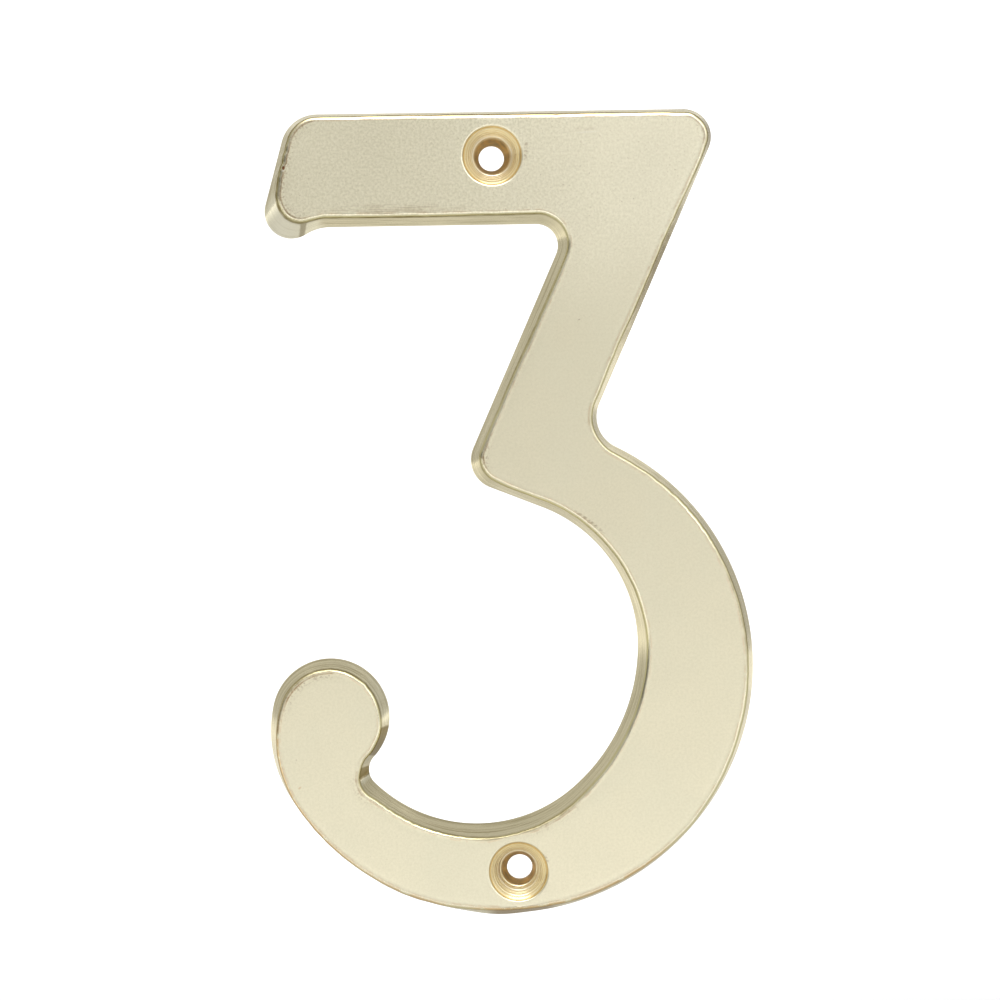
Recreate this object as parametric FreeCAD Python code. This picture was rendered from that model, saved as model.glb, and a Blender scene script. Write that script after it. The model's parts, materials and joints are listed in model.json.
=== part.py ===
"""A door number: the numeral 3 with a flat top, cast in brass as one solid piece.

The numeral stands upright in the X-Z plane and faces -Y. Its flat back lies on Y = 0, and the
origin is where the axis of the upper screw hole meets the back. Lengths are in millimetres and
angles in degrees, measured anticlockwise from +X as seen from the front.

The outline is given at the back. Every wall leans in by the draft on its way to the front face,
and the toe at the left end of the top bar spreads out further than that towards the back.
"""
import FreeCAD
import Part
import math
import os

# Whole numeral
HEIGHT = 101.6                  # top edge to the foot of the bowl
THICKNESS = 6.35
DRAFT = 1.0                     # how far each wall leans in between back and front
FACE_ROUNDING = 0.5             # edge between the walls and the front face

# Top bar
BAR_WIDTH = 14.3                # top edge to underside
BAR_REACH_LEFT = 28.8           # hole axis to the outermost point of the toe
BAR_REACH_RIGHT = 29.75         # hole axis to the top right corner, before rounding
TOP_LEFT_ROUNDING = 4.6
TOP_RIGHT_ROUNDING = 3.5
END_LEAN = 15.4                 # lean of the bar's left end from upright

# Toe, the rounded end that hangs below the bar at the left
TOE_RADIUS = 3.4
TOE_RADIUS_FRONT = 3.2
TOE_DROP = 1.4                  # how far it hangs below the underside, at the back
TOE_DROP_FRONT = 0.4
TOE_FLARE = 0.7                 # how much further than the draft it spreads to the left
TOE_HOLLOW = 6.0                # hollow curve between the toe and the underside
TOE_HOLLOW_FRONT = 9.7

# Diagonal stroke
DIAGONAL_WIDTH = 12.5
DIAGONAL_LEAN = 24.0            # from upright
INNER_CORNER_ROUNDING = 2.7     # between the bar's underside and the diagonal
NOTCH_ROUNDING = 4.2            # between the diagonal and the bowl's shoulder
HEEL_ROUNDING = 3.75            # the diagonal's lower left end
HEEL_SLOPE = 21.7               # fall of the short straight from the heel into the bowl

# Outside of the bowl: a long arc, with a smaller one at each end
BOWL_CENTRE_X = 0.45
BOWL_RADIUS = 31.9
SHOULDER_RADIUS = 30.85
SHOULDER_ANGLE = -25.3          # where the shoulder takes over from the long arc
FLANK_RADIUS = 15.8
FLANK_ANGLE = -148.3

# Hollow of the bowl: a flat arc at the right, with rounder ones above and below it
SIDE_WIDTH = 14.6               # stroke width at the bowl's right side
FOOT_WIDTH = 11.5               # stroke width at the foot of the bowl
HOLLOW_SIDE_TIGHTER = 8.0       # how much smaller its radius is than the long arc's
HOLLOW_TOP_TIGHTER = 13.1
HOLLOW_TOP_ANGLE = -1.7         # where the top arc hands over to the side
HOLLOW_FOOT_TIGHTER = 13.3
HOLLOW_FOOT_ANGLE = -50.0

# Ball at the end of the bowl
BALL_RADIUS = 7.45
BALL_ANGLE = 167.2              # where the flank runs into the ball
NECK_ROUNDING = 2.3             # hollow curve between the ball and the bowl

# Screw holes: countersink, tapered core and a plain bore at the back
HOLE_MARGIN = 6.0               # outer edge of the numeral to each hole's axis
LOWER_HOLE_X = 2.25
COUNTERSINK_DIAMETER = 7.4
COUNTERSINK_ANGLE = 82.0        # whole angle of the cone
CORE_DIAMETER = 4.6             # where the countersink ends
BORE_DIAMETER = 3.2
BORE_LENGTH = 1.5
MOUTH_ROUNDING = 0.2            # edge between the countersink and the front face

TOP_Z = HOLE_MARGIN
FOOT_Z = TOP_Z - HEIGHT
CUTTER_MARGIN = 1.0             # how far the hole cutter stands out of the metal


def direction(angle):
    """Unit vector at an angle."""
    return FreeCAD.Vector(math.cos(math.radians(angle)), math.sin(math.radians(angle)), 0)


def left_of(vector):
    """A vector turned a quarter anticlockwise."""
    return FreeCAD.Vector(-vector.y, vector.x, 0)


def at_depth(point, y):
    """A point of the outline, placed in space at a depth."""
    return FreeCAD.Vector(point.x, y, point.y)


class Straight:
    """An endless line that runs one way, with the metal on its left."""

    def __init__(self, point, angle):
        self.point = point
        self.angle = angle
        self.run = direction(angle)

    def inset(self, amount):
        """The parallel line that lies further into the metal."""
        return Straight(self.point + left_of(self.run) * amount, self.angle)

    def nearest(self, point):
        """The point of the line nearest to another point."""
        return self.point + self.run * (point - self.point).dot(self.run)

    def edge(self, start, end, y):
        """The stretch from start to end."""
        return Part.LineSegment(at_depth(start, y), at_depth(end, y)).toShape()


class Round:
    """A circle that runs anticlockwise round metal (turn 1), or clockwise round a hollow (-1)."""

    def __init__(self, centre, radius, turn):
        self.centre = centre
        self.radius = radius
        self.turn = turn

    def inset(self, amount):
        """The circle about the same centre that lies further into the metal."""
        return Round(self.centre, self.radius - self.turn * amount, self.turn)

    def nearest(self, point):
        """The point of the circle nearest to another point."""
        return self.centre + (point - self.centre).normalize() * self.radius

    def at(self, angle):
        """The point of the circle at an angle."""
        return self.centre + direction(angle) * self.radius

    def blended(self, angle, radius):
        """The circle of another radius that touches this one at an angle, running the same way."""
        return Round(self.centre + direction(angle) * (self.radius - radius), radius, self.turn)

    def edge(self, start, end, y):
        """The arc from start to end, the way the circle runs."""
        first = math.atan2(start.y - self.centre.y, start.x - self.centre.x)
        last = math.atan2(end.y - self.centre.y, end.x - self.centre.x)
        sweep = (self.turn * (last - first)) % (2 * math.pi)
        middle = self.at(math.degrees(first + self.turn * sweep / 2))
        return Part.Arc(at_depth(start, y), at_depth(middle, y), at_depth(end, y)).toShape()


def crossing(first, second, towards):
    """Where two tracks cross: of two such points, the one that lies further towards a direction."""
    if isinstance(first, Straight) and isinstance(second, Straight):
        normal = left_of(second.run)
        along = (second.point - first.point).dot(normal) / first.run.dot(normal)
        return first.point + first.run * along
    if isinstance(first, Round) and isinstance(second, Straight):
        first, second = second, first
    if isinstance(first, Straight):
        middle = first.nearest(second.centre)
        across = first.run
        reach = math.sqrt(second.radius ** 2 - (middle - second.centre).Length ** 2)
    else:
        between = second.centre - first.centre
        away = (between.Length ** 2 + first.radius ** 2 - second.radius ** 2) / (2 * between.Length)
        middle = first.centre + between.normalize() * away
        across = left_of(between)
        reach = math.sqrt(first.radius ** 2 - away ** 2)
    return max((middle + across * reach, middle - across * reach), key=lambda point: point.dot(towards))


def corner(first, second, radius, turn, towards=FreeCAD.Vector(0, 0, 0)):
    """The circle that rounds the corner between two tracks, standing out (turn 1) or hollow (-1)."""
    centre = crossing(first.inset(turn * radius), second.inset(turn * radius), towards)
    return Round(centre, radius, turn)


def joined(tracks):
    """The points where each track hands over to the next, for tracks that touch in turn."""
    points = []
    for track, following in zip(tracks, tracks[1:] + tracks[:1]):
        if isinstance(following, Straight):
            points.append(following.nearest(track.centre))
        elif isinstance(track, Straight):
            points.append(track.nearest(following.centre))
        elif track.turn == following.turn:
            larger, smaller = sorted((track, following), key=lambda one: -one.radius)
            points.append(larger.nearest(smaller.centre))
        else:
            points.append(track.nearest(following.centre))
    return points


def diagonal_sides():
    """The right side of the diagonal, running up, and its left side, running down."""
    top_corner = FreeCAD.Vector(BAR_REACH_RIGHT, TOP_Z, 0)
    right = Straight(top_corner, 90 - DIAGONAL_LEAN)
    left_point = right.inset(DIAGONAL_WIDTH).point
    return right, Straight(left_point, right.angle - 180)


def bowl_outside():
    """The flank, the long arc and the shoulder of the bowl, from left to right."""
    long_arc = Round(FreeCAD.Vector(BOWL_CENTRE_X, FOOT_Z + BOWL_RADIUS, 0), BOWL_RADIUS, 1)
    flank = long_arc.blended(FLANK_ANGLE, FLANK_RADIUS)
    shoulder = long_arc.blended(SHOULDER_ANGLE, SHOULDER_RADIUS)
    return flank, long_arc, shoulder


def bowl_hollow(shoulder):
    """The top, side and foot arcs of the bowl's hollow, clockwise from the heel."""
    side_radius = BOWL_RADIUS - HOLLOW_SIDE_TIGHTER
    foot_radius = BOWL_RADIUS - HOLLOW_FOOT_TIGHTER
    foot_offset = (side_radius - foot_radius) * direction(HOLLOW_FOOT_ANGLE).y
    side_x = shoulder.centre.x + shoulder.radius - SIDE_WIDTH - side_radius
    side_z = FOOT_Z + FOOT_WIDTH + foot_radius - foot_offset
    side = Round(FreeCAD.Vector(side_x, side_z, 0), side_radius, -1)
    top = side.blended(HOLLOW_TOP_ANGLE, BOWL_RADIUS - HOLLOW_TOP_TIGHTER)
    foot = side.blended(HOLLOW_FOOT_ANGLE, foot_radius)
    return top, side, foot


def toe_and_end(underside, front):
    """The toe's circle and the bar's left end above it, at the front face or at the back."""
    radius = TOE_RADIUS_FRONT if front else TOE_RADIUS
    drop = TOE_DROP_FRONT if front else TOE_DROP
    reach = BAR_REACH_LEFT - (DRAFT + TOE_FLARE if front else 0)
    toe = Round(FreeCAD.Vector(radius - reach, underside.point.y - drop + radius, 0), radius, 1)
    angle = -90 - END_LEAN
    end = Straight(toe.centre + left_of(direction(angle)) * -radius, angle)
    return toe, end


def outline(y, front):
    """The closed outline of the numeral, anticlockwise from the top edge."""
    inset = DRAFT if front else 0
    up = FreeCAD.Vector(0, 1, 0)
    right = FreeCAD.Vector(1, 0, 0)
    top = Straight(FreeCAD.Vector(0, TOP_Z, 0), 180).inset(inset)
    underside = Straight(FreeCAD.Vector(0, TOP_Z - BAR_WIDTH, 0), 0).inset(inset)
    toe, end = toe_and_end(underside, front)
    diagonal_right, diagonal_left = [side.inset(inset) for side in diagonal_sides()]
    flank, long_arc, shoulder = bowl_outside()
    hollow_top, hollow_side, hollow_foot = bowl_hollow(shoulder)
    heel_start = hollow_top.at(90 - HEEL_SLOPE)
    heel_straight = Straight(heel_start, -HEEL_SLOPE).inset(inset)
    ball = flank.blended(BALL_ANGLE, BALL_RADIUS)
    flank, long_arc, shoulder, ball, hollow_top, hollow_side, hollow_foot = [
        arc.inset(inset) for arc in (flank, long_arc, shoulder, ball, hollow_top, hollow_side, hollow_foot)]
    toe_hollow = corner(toe, underside, TOE_HOLLOW_FRONT if front else TOE_HOLLOW, -1, right)
    tracks = [
        top,
        corner(top, end, TOP_LEFT_ROUNDING - inset, 1),
        end,
        toe,
        toe_hollow,
        underside,
        corner(underside, diagonal_left, INNER_CORNER_ROUNDING + inset, -1),
        diagonal_left,
        corner(diagonal_left, heel_straight, HEEL_ROUNDING - inset, 1),
        heel_straight,
        hollow_top,
        hollow_side,
        hollow_foot,
        corner(hollow_foot, ball, NECK_ROUNDING + inset, -1, up * -1),
        ball,
        flank,
        long_arc,
        shoulder,
        corner(shoulder, diagonal_right, NOTCH_ROUNDING + inset, -1, up),
        diagonal_right,
        corner(diagonal_right, top, TOP_RIGHT_ROUNDING - inset, 1),
    ]
    ends = joined(tracks)
    starts = ends[-1:] + ends[:-1]
    return Part.Wire([track.edge(start, end, y) for track, start, end in zip(tracks, starts, ends)])


def drafted_body():
    """The numeral with its leaning walls, before rounding and drilling."""
    return Part.makeLoft([outline(0, False), outline(-THICKNESS, True)], True, True)


def with_rounded_face(body):
    """The body with the edge all round its front face rounded over."""
    rim = [edge for edge in body.Edges if edge.BoundBox.YMax < FACE_ROUNDING / 2 - THICKNESS]
    return body.makeFillet(FACE_ROUNDING, rim)


def hole_cutter(x, z):
    """The space of one screw hole, turned about its axis."""
    bore = BORE_DIAMETER / 2
    core = CORE_DIAMETER / 2
    slope = math.tan(math.radians(COUNTERSINK_ANGLE / 2))
    core_depth = (COUNTERSINK_DIAMETER / 2 - core) / slope
    mouth = COUNTERSINK_DIAMETER / 2 + CUTTER_MARGIN * slope
    profile = Part.makePolygon([
        FreeCAD.Vector(x, CUTTER_MARGIN, z),
        FreeCAD.Vector(x + bore, CUTTER_MARGIN, z),
        FreeCAD.Vector(x + bore, -BORE_LENGTH, z),
        FreeCAD.Vector(x + core, core_depth - THICKNESS, z),
        FreeCAD.Vector(x + mouth, -THICKNESS - CUTTER_MARGIN, z),
        FreeCAD.Vector(x, -THICKNESS - CUTTER_MARGIN, z),
        FreeCAD.Vector(x, CUTTER_MARGIN, z),
    ])
    return Part.Face(profile).revolve(FreeCAD.Vector(x, 0, z), FreeCAD.Vector(0, 1, 0), 360)


def with_screw_holes(body):
    """The body with both countersunk holes cut and their mouths rounded."""
    cutters = [hole_cutter(0, 0), hole_cutter(LOWER_HOLE_X, FOOT_Z + HOLE_MARGIN)]
    drilled = body.cut(Part.makeCompound(cutters))
    mouths = [
        edge for edge in drilled.Edges
        if edge.BoundBox.YMax < FACE_ROUNDING / 2 - THICKNESS
        and isinstance(edge.Curve, Part.Circle)
        and abs(edge.Curve.Radius - COUNTERSINK_DIAMETER / 2) < MOUTH_ROUNDING / 2
        and len(edge.Vertexes) == 1
    ]
    return drilled.makeFillet(MOUTH_ROUNDING, mouths)


def door_number():
    """The finished numeral, as one solid."""
    return with_screw_holes(with_rounded_face(drafted_body())).Solids[0]


os.makedirs("parts", exist_ok=True)
door_number().exportStep("parts/door_number.step")
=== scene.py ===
"""The looks of a cast brass door number: the dressed casting, its turned screw holes and a plain studio.

The numeral stands upright in the X-Z plane, faces -Y and has its flat back on Y = 0. Shapes are
worked out in millimetres, angles in degrees anticlockwise from +X as seen from the front, and
everything goes into the scene in metres.
"""

import json
import logging
import math
from dataclasses import dataclass, field
from enum import Enum, IntEnum
from typing import Callable, Dict, List, Mapping, Sequence, Tuple, Union

import bmesh
import bpy
import numpy as np
from mathutils import Matrix, Vector
from mathutils.geometry import delaunay_2d_cdt


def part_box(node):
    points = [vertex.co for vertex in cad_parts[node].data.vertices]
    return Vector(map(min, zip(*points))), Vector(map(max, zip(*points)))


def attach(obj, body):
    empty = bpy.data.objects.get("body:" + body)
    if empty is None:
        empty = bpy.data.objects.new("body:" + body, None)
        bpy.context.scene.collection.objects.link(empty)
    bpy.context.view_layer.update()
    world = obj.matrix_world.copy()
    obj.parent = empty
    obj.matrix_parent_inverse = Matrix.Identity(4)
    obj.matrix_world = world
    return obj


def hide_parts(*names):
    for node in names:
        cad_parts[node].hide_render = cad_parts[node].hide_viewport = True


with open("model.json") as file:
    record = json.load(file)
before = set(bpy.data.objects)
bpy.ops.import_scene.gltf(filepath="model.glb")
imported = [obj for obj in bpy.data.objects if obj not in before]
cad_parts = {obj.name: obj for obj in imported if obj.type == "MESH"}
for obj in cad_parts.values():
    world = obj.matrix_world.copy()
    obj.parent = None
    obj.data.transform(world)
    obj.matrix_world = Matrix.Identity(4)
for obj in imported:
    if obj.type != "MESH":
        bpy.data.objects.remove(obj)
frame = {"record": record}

CAD_NODE = "door_number"
METRES = 0.001                      # one millimetre
FAR_FROM_EDGE = -9.0                # the value edge_mm carries inside the screw holes
SEED = 3

Colour = Tuple[float, float, float, float]
Place = Tuple[float, float]
Rows = Tuple[np.ndarray, np.ndarray]        # two tables with a row for each point

log = logging.getLogger("door_number")


class Turn(IntEnum):
    """Which way a round track runs: anticlockwise round metal, or clockwise round a hollow."""

    METAL = 1
    HOLLOW = -1


class Stretch(Enum):
    """The stretches of the outline, anticlockwise from the top edge."""

    TOP = "top"
    TOP_LEFT = "top left corner"
    END = "left end of the bar"
    TOE = "toe"
    TOE_HOLLOW = "hollow beside the toe"
    UNDERSIDE = "underside of the bar"
    INNER_CORNER = "inner corner"
    DIAGONAL_LEFT = "left side of the diagonal"
    HEEL = "heel"
    HEEL_SLOPE = "slope below the heel"
    HOLLOW_TOP = "top of the bowl's hollow"
    HOLLOW_SIDE = "side of the bowl's hollow"
    HOLLOW_FOOT = "foot of the bowl's hollow"
    NECK = "neck"
    BALL = "ball"
    FLANK = "flank of the bowl"
    LONG_ARC = "long arc of the bowl"
    SHOULDER = "shoulder of the bowl"
    NOTCH = "notch"
    DIAGONAL_RIGHT = "right side of the diagonal"
    TOP_RIGHT = "top right corner"


class Zone(IntEnum):
    """The surfaces of the casting that take a finish of their own."""

    FACE = 0
    WALL = 1
    CONE = 2
    CORE = 3
    BACK = 4


def heading(angle: float) -> np.ndarray:
    """Unit vector at an angle."""
    return np.array([math.cos(math.radians(angle)), math.sin(math.radians(angle))])


def left_of(vector: np.ndarray) -> np.ndarray:
    """A vector turned a quarter anticlockwise."""
    return np.array([-vector[1], vector[0]])


def unit(vectors: np.ndarray) -> np.ndarray:
    """Vectors brought to a length of one."""
    return vectors / np.linalg.norm(vectors, axis=-1, keepdims=True)


def upright(places: np.ndarray, y: Union[float, np.ndarray] = 0.0) -> np.ndarray:
    """Places of the X-Z plane as points in space, at a Y or at one Y each."""
    return np.column_stack([places[:, 0], np.broadcast_to(y, len(places)), places[:, 1]])


@dataclass(frozen=True)
class Straight:
    """An endless line that runs one way, with the metal on its left."""

    point: np.ndarray
    angle: float

    @property
    def run(self) -> np.ndarray:
        """The way it runs."""
        return heading(self.angle)

    def inset(self, amount: float) -> "Straight":
        """The parallel line that lies further into the metal."""
        return Straight(self.point + left_of(self.run) * amount, self.angle)

    def nearest(self, point: np.ndarray) -> np.ndarray:
        """The point of the line nearest to another point."""
        return self.point + self.run * (point - self.point).dot(self.run)

    def length(self, start: np.ndarray, end: np.ndarray) -> float:
        """The way along it from start to end."""
        return float(np.linalg.norm(end - start))

    def sampled(self, start: np.ndarray, end: np.ndarray, shares: np.ndarray) -> Rows:
        """Points along the stretch, and the direction into the metal at each.

        Args:
            start: Where the stretch starts.
            end: Where it ends.
            shares: How far along it each point lies, from 0 to 1.

        Returns:
            The points and the directions, one row each.
        """
        points = start + (end - start) * shares[:, None]
        return points, np.tile(left_of(self.run), (len(shares), 1))


@dataclass(frozen=True)
class Round:
    """A circle that runs round metal or round a hollow."""

    centre: np.ndarray
    radius: float
    turn: Turn

    def inset(self, amount: float) -> "Round":
        """The circle about the same centre that lies further into the metal."""
        return Round(self.centre, self.radius - self.turn * amount, self.turn)

    def nearest(self, point: np.ndarray) -> np.ndarray:
        """The point of the circle nearest to another point."""
        return self.centre + unit(point - self.centre) * self.radius

    def at(self, angle: float) -> np.ndarray:
        """The point of the circle at an angle."""
        return self.centre + heading(angle) * self.radius

    def blended(self, angle: float, radius: float) -> "Round":
        """The circle of another radius that touches this one at an angle, running the same way."""
        return Round(self.centre + heading(angle) * (self.radius - radius), radius, self.turn)

    def sweep(self, start: np.ndarray, end: np.ndarray) -> Tuple[float, float]:
        """The angle at which a stretch starts, and how far it turns, both in radians."""
        first = math.atan2(start[1] - self.centre[1], start[0] - self.centre[0])
        last = math.atan2(end[1] - self.centre[1], end[0] - self.centre[0])
        return first, (self.turn * (last - first)) % (2 * math.pi)

    def length(self, start: np.ndarray, end: np.ndarray) -> float:
        """The way along it from start to end."""
        return self.radius * self.sweep(start, end)[1]

    def sampled(self, start: np.ndarray, end: np.ndarray, shares: np.ndarray) -> Rows:
        """Points along the stretch, and the direction into the metal at each.

        Args:
            start: Where the stretch starts.
            end: Where it ends.
            shares: How far along it each point lies, from 0 to 1.

        Returns:
            The points and the directions, one row each.
        """
        first, turned = self.sweep(start, end)
        angles = first + self.turn * turned * shares
        outward = np.column_stack([np.cos(angles), np.sin(angles)])
        return self.centre + outward * self.radius, -self.turn * outward


Track = Union[Straight, Round]


def crossing(first: Track, second: Track, towards: np.ndarray) -> np.ndarray:
    """Where two tracks cross.

    Args:
        first: One track.
        second: The other track.
        towards: Of two such points, the one that lies further this way is meant.

    Returns:
        The point.
    """
    if isinstance(first, Straight) and isinstance(second, Straight):
        normal = left_of(second.run)
        along = (second.point - first.point).dot(normal) / first.run.dot(normal)
        return first.point + first.run * along
    if isinstance(first, Round) and isinstance(second, Straight):
        first, second = second, first
    if isinstance(first, Straight):
        middle = first.nearest(second.centre)
        across = first.run
        reach = math.sqrt(second.radius ** 2 - ((middle - second.centre) ** 2).sum())
    else:
        between = second.centre - first.centre
        gap = np.linalg.norm(between)
        away = (gap ** 2 + first.radius ** 2 - second.radius ** 2) / (2 * gap)
        middle = first.centre + between / gap * away
        across = left_of(between / gap)
        reach = math.sqrt(first.radius ** 2 - away ** 2)
    return max((middle + across * reach, middle - across * reach), key=lambda point: point.dot(towards))


def corner(first: Track, second: Track, radius: float, turn: Turn, towards: Place = (0, 0)) -> Round:
    """The circle that rounds the corner between two tracks.

    Args:
        first: The track that comes in.
        second: The track that goes on.
        radius: The circle's radius.
        turn: Whether the corner stands out or is hollow.
        towards: Which of two possible corners is meant.

    Returns:
        The circle.
    """
    centre = crossing(first.inset(turn * radius), second.inset(turn * radius), np.array(towards))
    return Round(centre, radius, turn)


def joined(tracks: Sequence[Track]) -> List[np.ndarray]:
    """The points where each track hands over to the next, for tracks that touch in turn."""
    points = []
    for track, following in zip(tracks, tracks[1:] + tracks[:1]):
        if isinstance(following, Straight):
            points.append(following.nearest(track.centre))
        elif isinstance(track, Straight):
            points.append(track.nearest(following.centre))
        elif track.turn == following.turn:
            larger, smaller = sorted((track, following), key=lambda one: -one.radius)
            points.append(larger.nearest(smaller.centre))
        else:
            points.append(track.nearest(following.centre))
    return points


@dataclass(frozen=True)
class Rim:
    """The outline as points, matched between the back and the front face."""

    back: np.ndarray
    front: np.ndarray
    inward: np.ndarray
    run: np.ndarray                 # way along the outline
    starts: Dict[Stretch, float]    # where each stretch starts along it
    perimeter: float

    def place(self, stretch: Stretch, share: float) -> float:
        """The way along the outline at a share of one stretch."""
        names = list(Stretch)
        start = self.starts[stretch]
        after = names[(names.index(stretch) + 1) % len(names)]
        end = self.starts[after] if after is not names[0] else self.perimeter
        return start + (end - start) * share

    def bell(self, stretch: Stretch, share: float, reach: float) -> np.ndarray:
        """A smooth hump about one place, 1 there and 0 from reach onwards.

        Args:
            stretch: The stretch that holds the place.
            share: How far along the stretch it lies, from 0 to 1.
            reach: Half the hump's length.

        Returns:
            Its height at every point of the rim.
        """
        away = np.abs(self.run - self.place(stretch, share))
        away = np.minimum(away, self.perimeter - away)
        return 0.5 + 0.5 * np.cos(np.pi * np.clip(away / reach, 0, 1))

    def ripple(self, seed: int, shortest: float, longest: float, waves: int = 9) -> np.ndarray:
        """An uneven wave along the outline that meets itself, about 1 high.

        Args:
            seed: Picks the waves.
            shortest: Shortest wavelength.
            longest: Longest wavelength.
            waves: How many waves are added up.

        Returns:
            Its height at every point of the rim.
        """
        dice = np.random.default_rng(seed)
        lengths = np.exp(dice.uniform(math.log(shortest), math.log(longest), waves))
        cycles = np.maximum(1, np.round(self.perimeter / lengths))
        phases = dice.uniform(0, 2 * np.pi, waves)
        angles = 2 * np.pi * cycles[:, None] * self.run / self.perimeter + phases[:, None]
        return np.sin(angles).sum(axis=0) * math.sqrt(2 / waves)


@dataclass(frozen=True)
class Touch:
    """A place on the outline where the hand-finished casting departs from its drawing."""

    stretch: Stretch
    share: float                    # how far along the stretch it lies
    reach: float
    amount: float


def touches(*rows: Tuple) -> Tuple[Touch, ...]:
    """Touches written stretch by stretch.

    Args:
        rows: Each holds a stretch, then the share, reach and amount of every touch on it.

    Returns:
        The touches.
    """
    return tuple(Touch(stretch, *place) for stretch, *places in rows for place in places)


@dataclass
class NumeralOutline:
    """The outline of the numeral in tangent straights and arcs, at the back and at the front face."""

    height: float
    thickness: float
    top_z: float
    draft: float = 1.0
    bar_width: float = 14.3
    bar_reach_left: float = 28.8
    bar_reach_right: float = 29.75
    top_left_rounding: float = 4.6
    top_right_rounding: float = 3.5
    end_lean: float = 15.4
    toe_radii: Place = (3.4, 3.2)               # at the back and at the front
    toe_drops: Place = (1.4, 0.4)
    toe_flare: float = 0.7
    toe_hollows: Place = (6.0, 9.7)
    diagonal_width: float = 12.5
    diagonal_lean: float = 24.0
    inner_corner_rounding: float = 2.7
    notch_rounding: float = 4.2
    heel_rounding: float = 3.75
    heel_slope: float = 21.7
    bowl_centre_x: float = 0.45
    bowl_radius: float = 31.9
    shoulder_radius: float = 30.85
    shoulder_angle: float = -25.3
    flank_radius: float = 15.8
    flank_angle: float = -148.3
    side_width: float = 14.6
    foot_width: float = 11.5
    hollow_side_radius: float = 23.9
    hollow_top_radius: float = 18.8
    hollow_top_angle: float = -1.7
    hollow_foot_radius: float = 18.6
    hollow_foot_angle: float = -50.0
    ball_radius: float = 7.45
    ball_angle: float = 167.2
    neck_rounding: float = 2.3
    spacing: float = 0.3                        # between points along the outline
    widest_turn: float = 5.0                    # between points round an arc

    @property
    def foot_z(self) -> float:
        """Height of the lowest point."""
        return self.top_z - self.height

    def bowl_outside(self) -> Tuple[Round, Round, Round]:
        """The flank, the long arc and the shoulder of the bowl, from left to right."""
        centre = np.array([self.bowl_centre_x, self.foot_z + self.bowl_radius])
        long_arc = Round(centre, self.bowl_radius, Turn.METAL)
        flank = long_arc.blended(self.flank_angle, self.flank_radius)
        return flank, long_arc, long_arc.blended(self.shoulder_angle, self.shoulder_radius)

    def bowl_hollow(self, shoulder: Round) -> Tuple[Round, Round, Round]:
        """The top, side and foot arcs of the bowl's hollow, clockwise from the heel.

        Args:
            shoulder: The arc outside the bowl that the hollow's side is measured from.

        Returns:
            The three circles.
        """
        lean = heading(self.hollow_foot_angle)[1]
        foot_offset = (self.hollow_side_radius - self.hollow_foot_radius) * lean
        side_x = shoulder.centre[0] + shoulder.radius - self.side_width - self.hollow_side_radius
        side_z = self.foot_z + self.foot_width + self.hollow_foot_radius - foot_offset
        side = Round(np.array([side_x, side_z]), self.hollow_side_radius, Turn.HOLLOW)
        top = side.blended(self.hollow_top_angle, self.hollow_top_radius)
        return top, side, side.blended(self.hollow_foot_angle, self.hollow_foot_radius)

    def toe_and_end(self, underside: Straight, front: bool) -> Tuple[Round, Straight]:
        """The toe's circle and the bar's left end above it.

        Args:
            underside: The bar's underside, which the toe hangs below.
            front: Whether the front face is meant, or the back.

        Returns:
            The circle and the line.
        """
        radius, drop = self.toe_radii[front], self.toe_drops[front]
        reach = self.bar_reach_left - (self.draft + self.toe_flare if front else 0)
        toe = Round(np.array([radius - reach, underside.point[1] - drop + radius]), radius, Turn.METAL)
        angle = -90 - self.end_lean
        return toe, Straight(toe.centre - left_of(heading(angle)) * radius, angle)

    def tracks(self, front: bool) -> List[Track]:
        """The tracks of the closed outline, one for each stretch.

        Args:
            front: Whether the front face is meant, or the back.

        Returns:
            The tracks, anticlockwise from the top edge.
        """
        inset = self.draft if front else 0.0
        top = Straight(np.array([0, self.top_z]), 180).inset(inset)
        underside = Straight(np.array([0, self.top_z - self.bar_width]), 0).inset(inset)
        toe, end = self.toe_and_end(underside, front)
        right_edge = Straight(np.array([self.bar_reach_right, self.top_z]), 90 - self.diagonal_lean)
        left_edge = Straight(right_edge.inset(self.diagonal_width).point, right_edge.angle - 180)
        outside = self.bowl_outside()
        hollow = self.bowl_hollow(outside[2])
        heel_line = Straight(hollow[0].at(90 - self.heel_slope), -self.heel_slope).inset(inset)
        ball = outside[0].blended(self.ball_angle, self.ball_radius).inset(inset)
        flank, long_arc, shoulder = [arc.inset(inset) for arc in outside]
        hollow_top, hollow_side, hollow_foot = [arc.inset(inset) for arc in hollow]
        right_edge, left_edge = right_edge.inset(inset), left_edge.inset(inset)
        return [
            top,
            corner(top, end, self.top_left_rounding - inset, Turn.METAL),
            end,
            toe,
            corner(toe, underside, self.toe_hollows[front], Turn.HOLLOW, (1, 0)),
            underside,
            corner(underside, left_edge, self.inner_corner_rounding + inset, Turn.HOLLOW),
            left_edge,
            corner(left_edge, heel_line, self.heel_rounding - inset, Turn.METAL),
            heel_line,
            hollow_top,
            hollow_side,
            hollow_foot,
            corner(hollow_foot, ball, self.neck_rounding + inset, Turn.HOLLOW, (0, -1)),
            ball,
            flank,
            long_arc,
            shoulder,
            corner(shoulder, right_edge, self.notch_rounding + inset, Turn.HOLLOW, (0, 1)),
            right_edge,
            corner(right_edge, top, self.top_right_rounding - inset, Turn.METAL),
        ]

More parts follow.
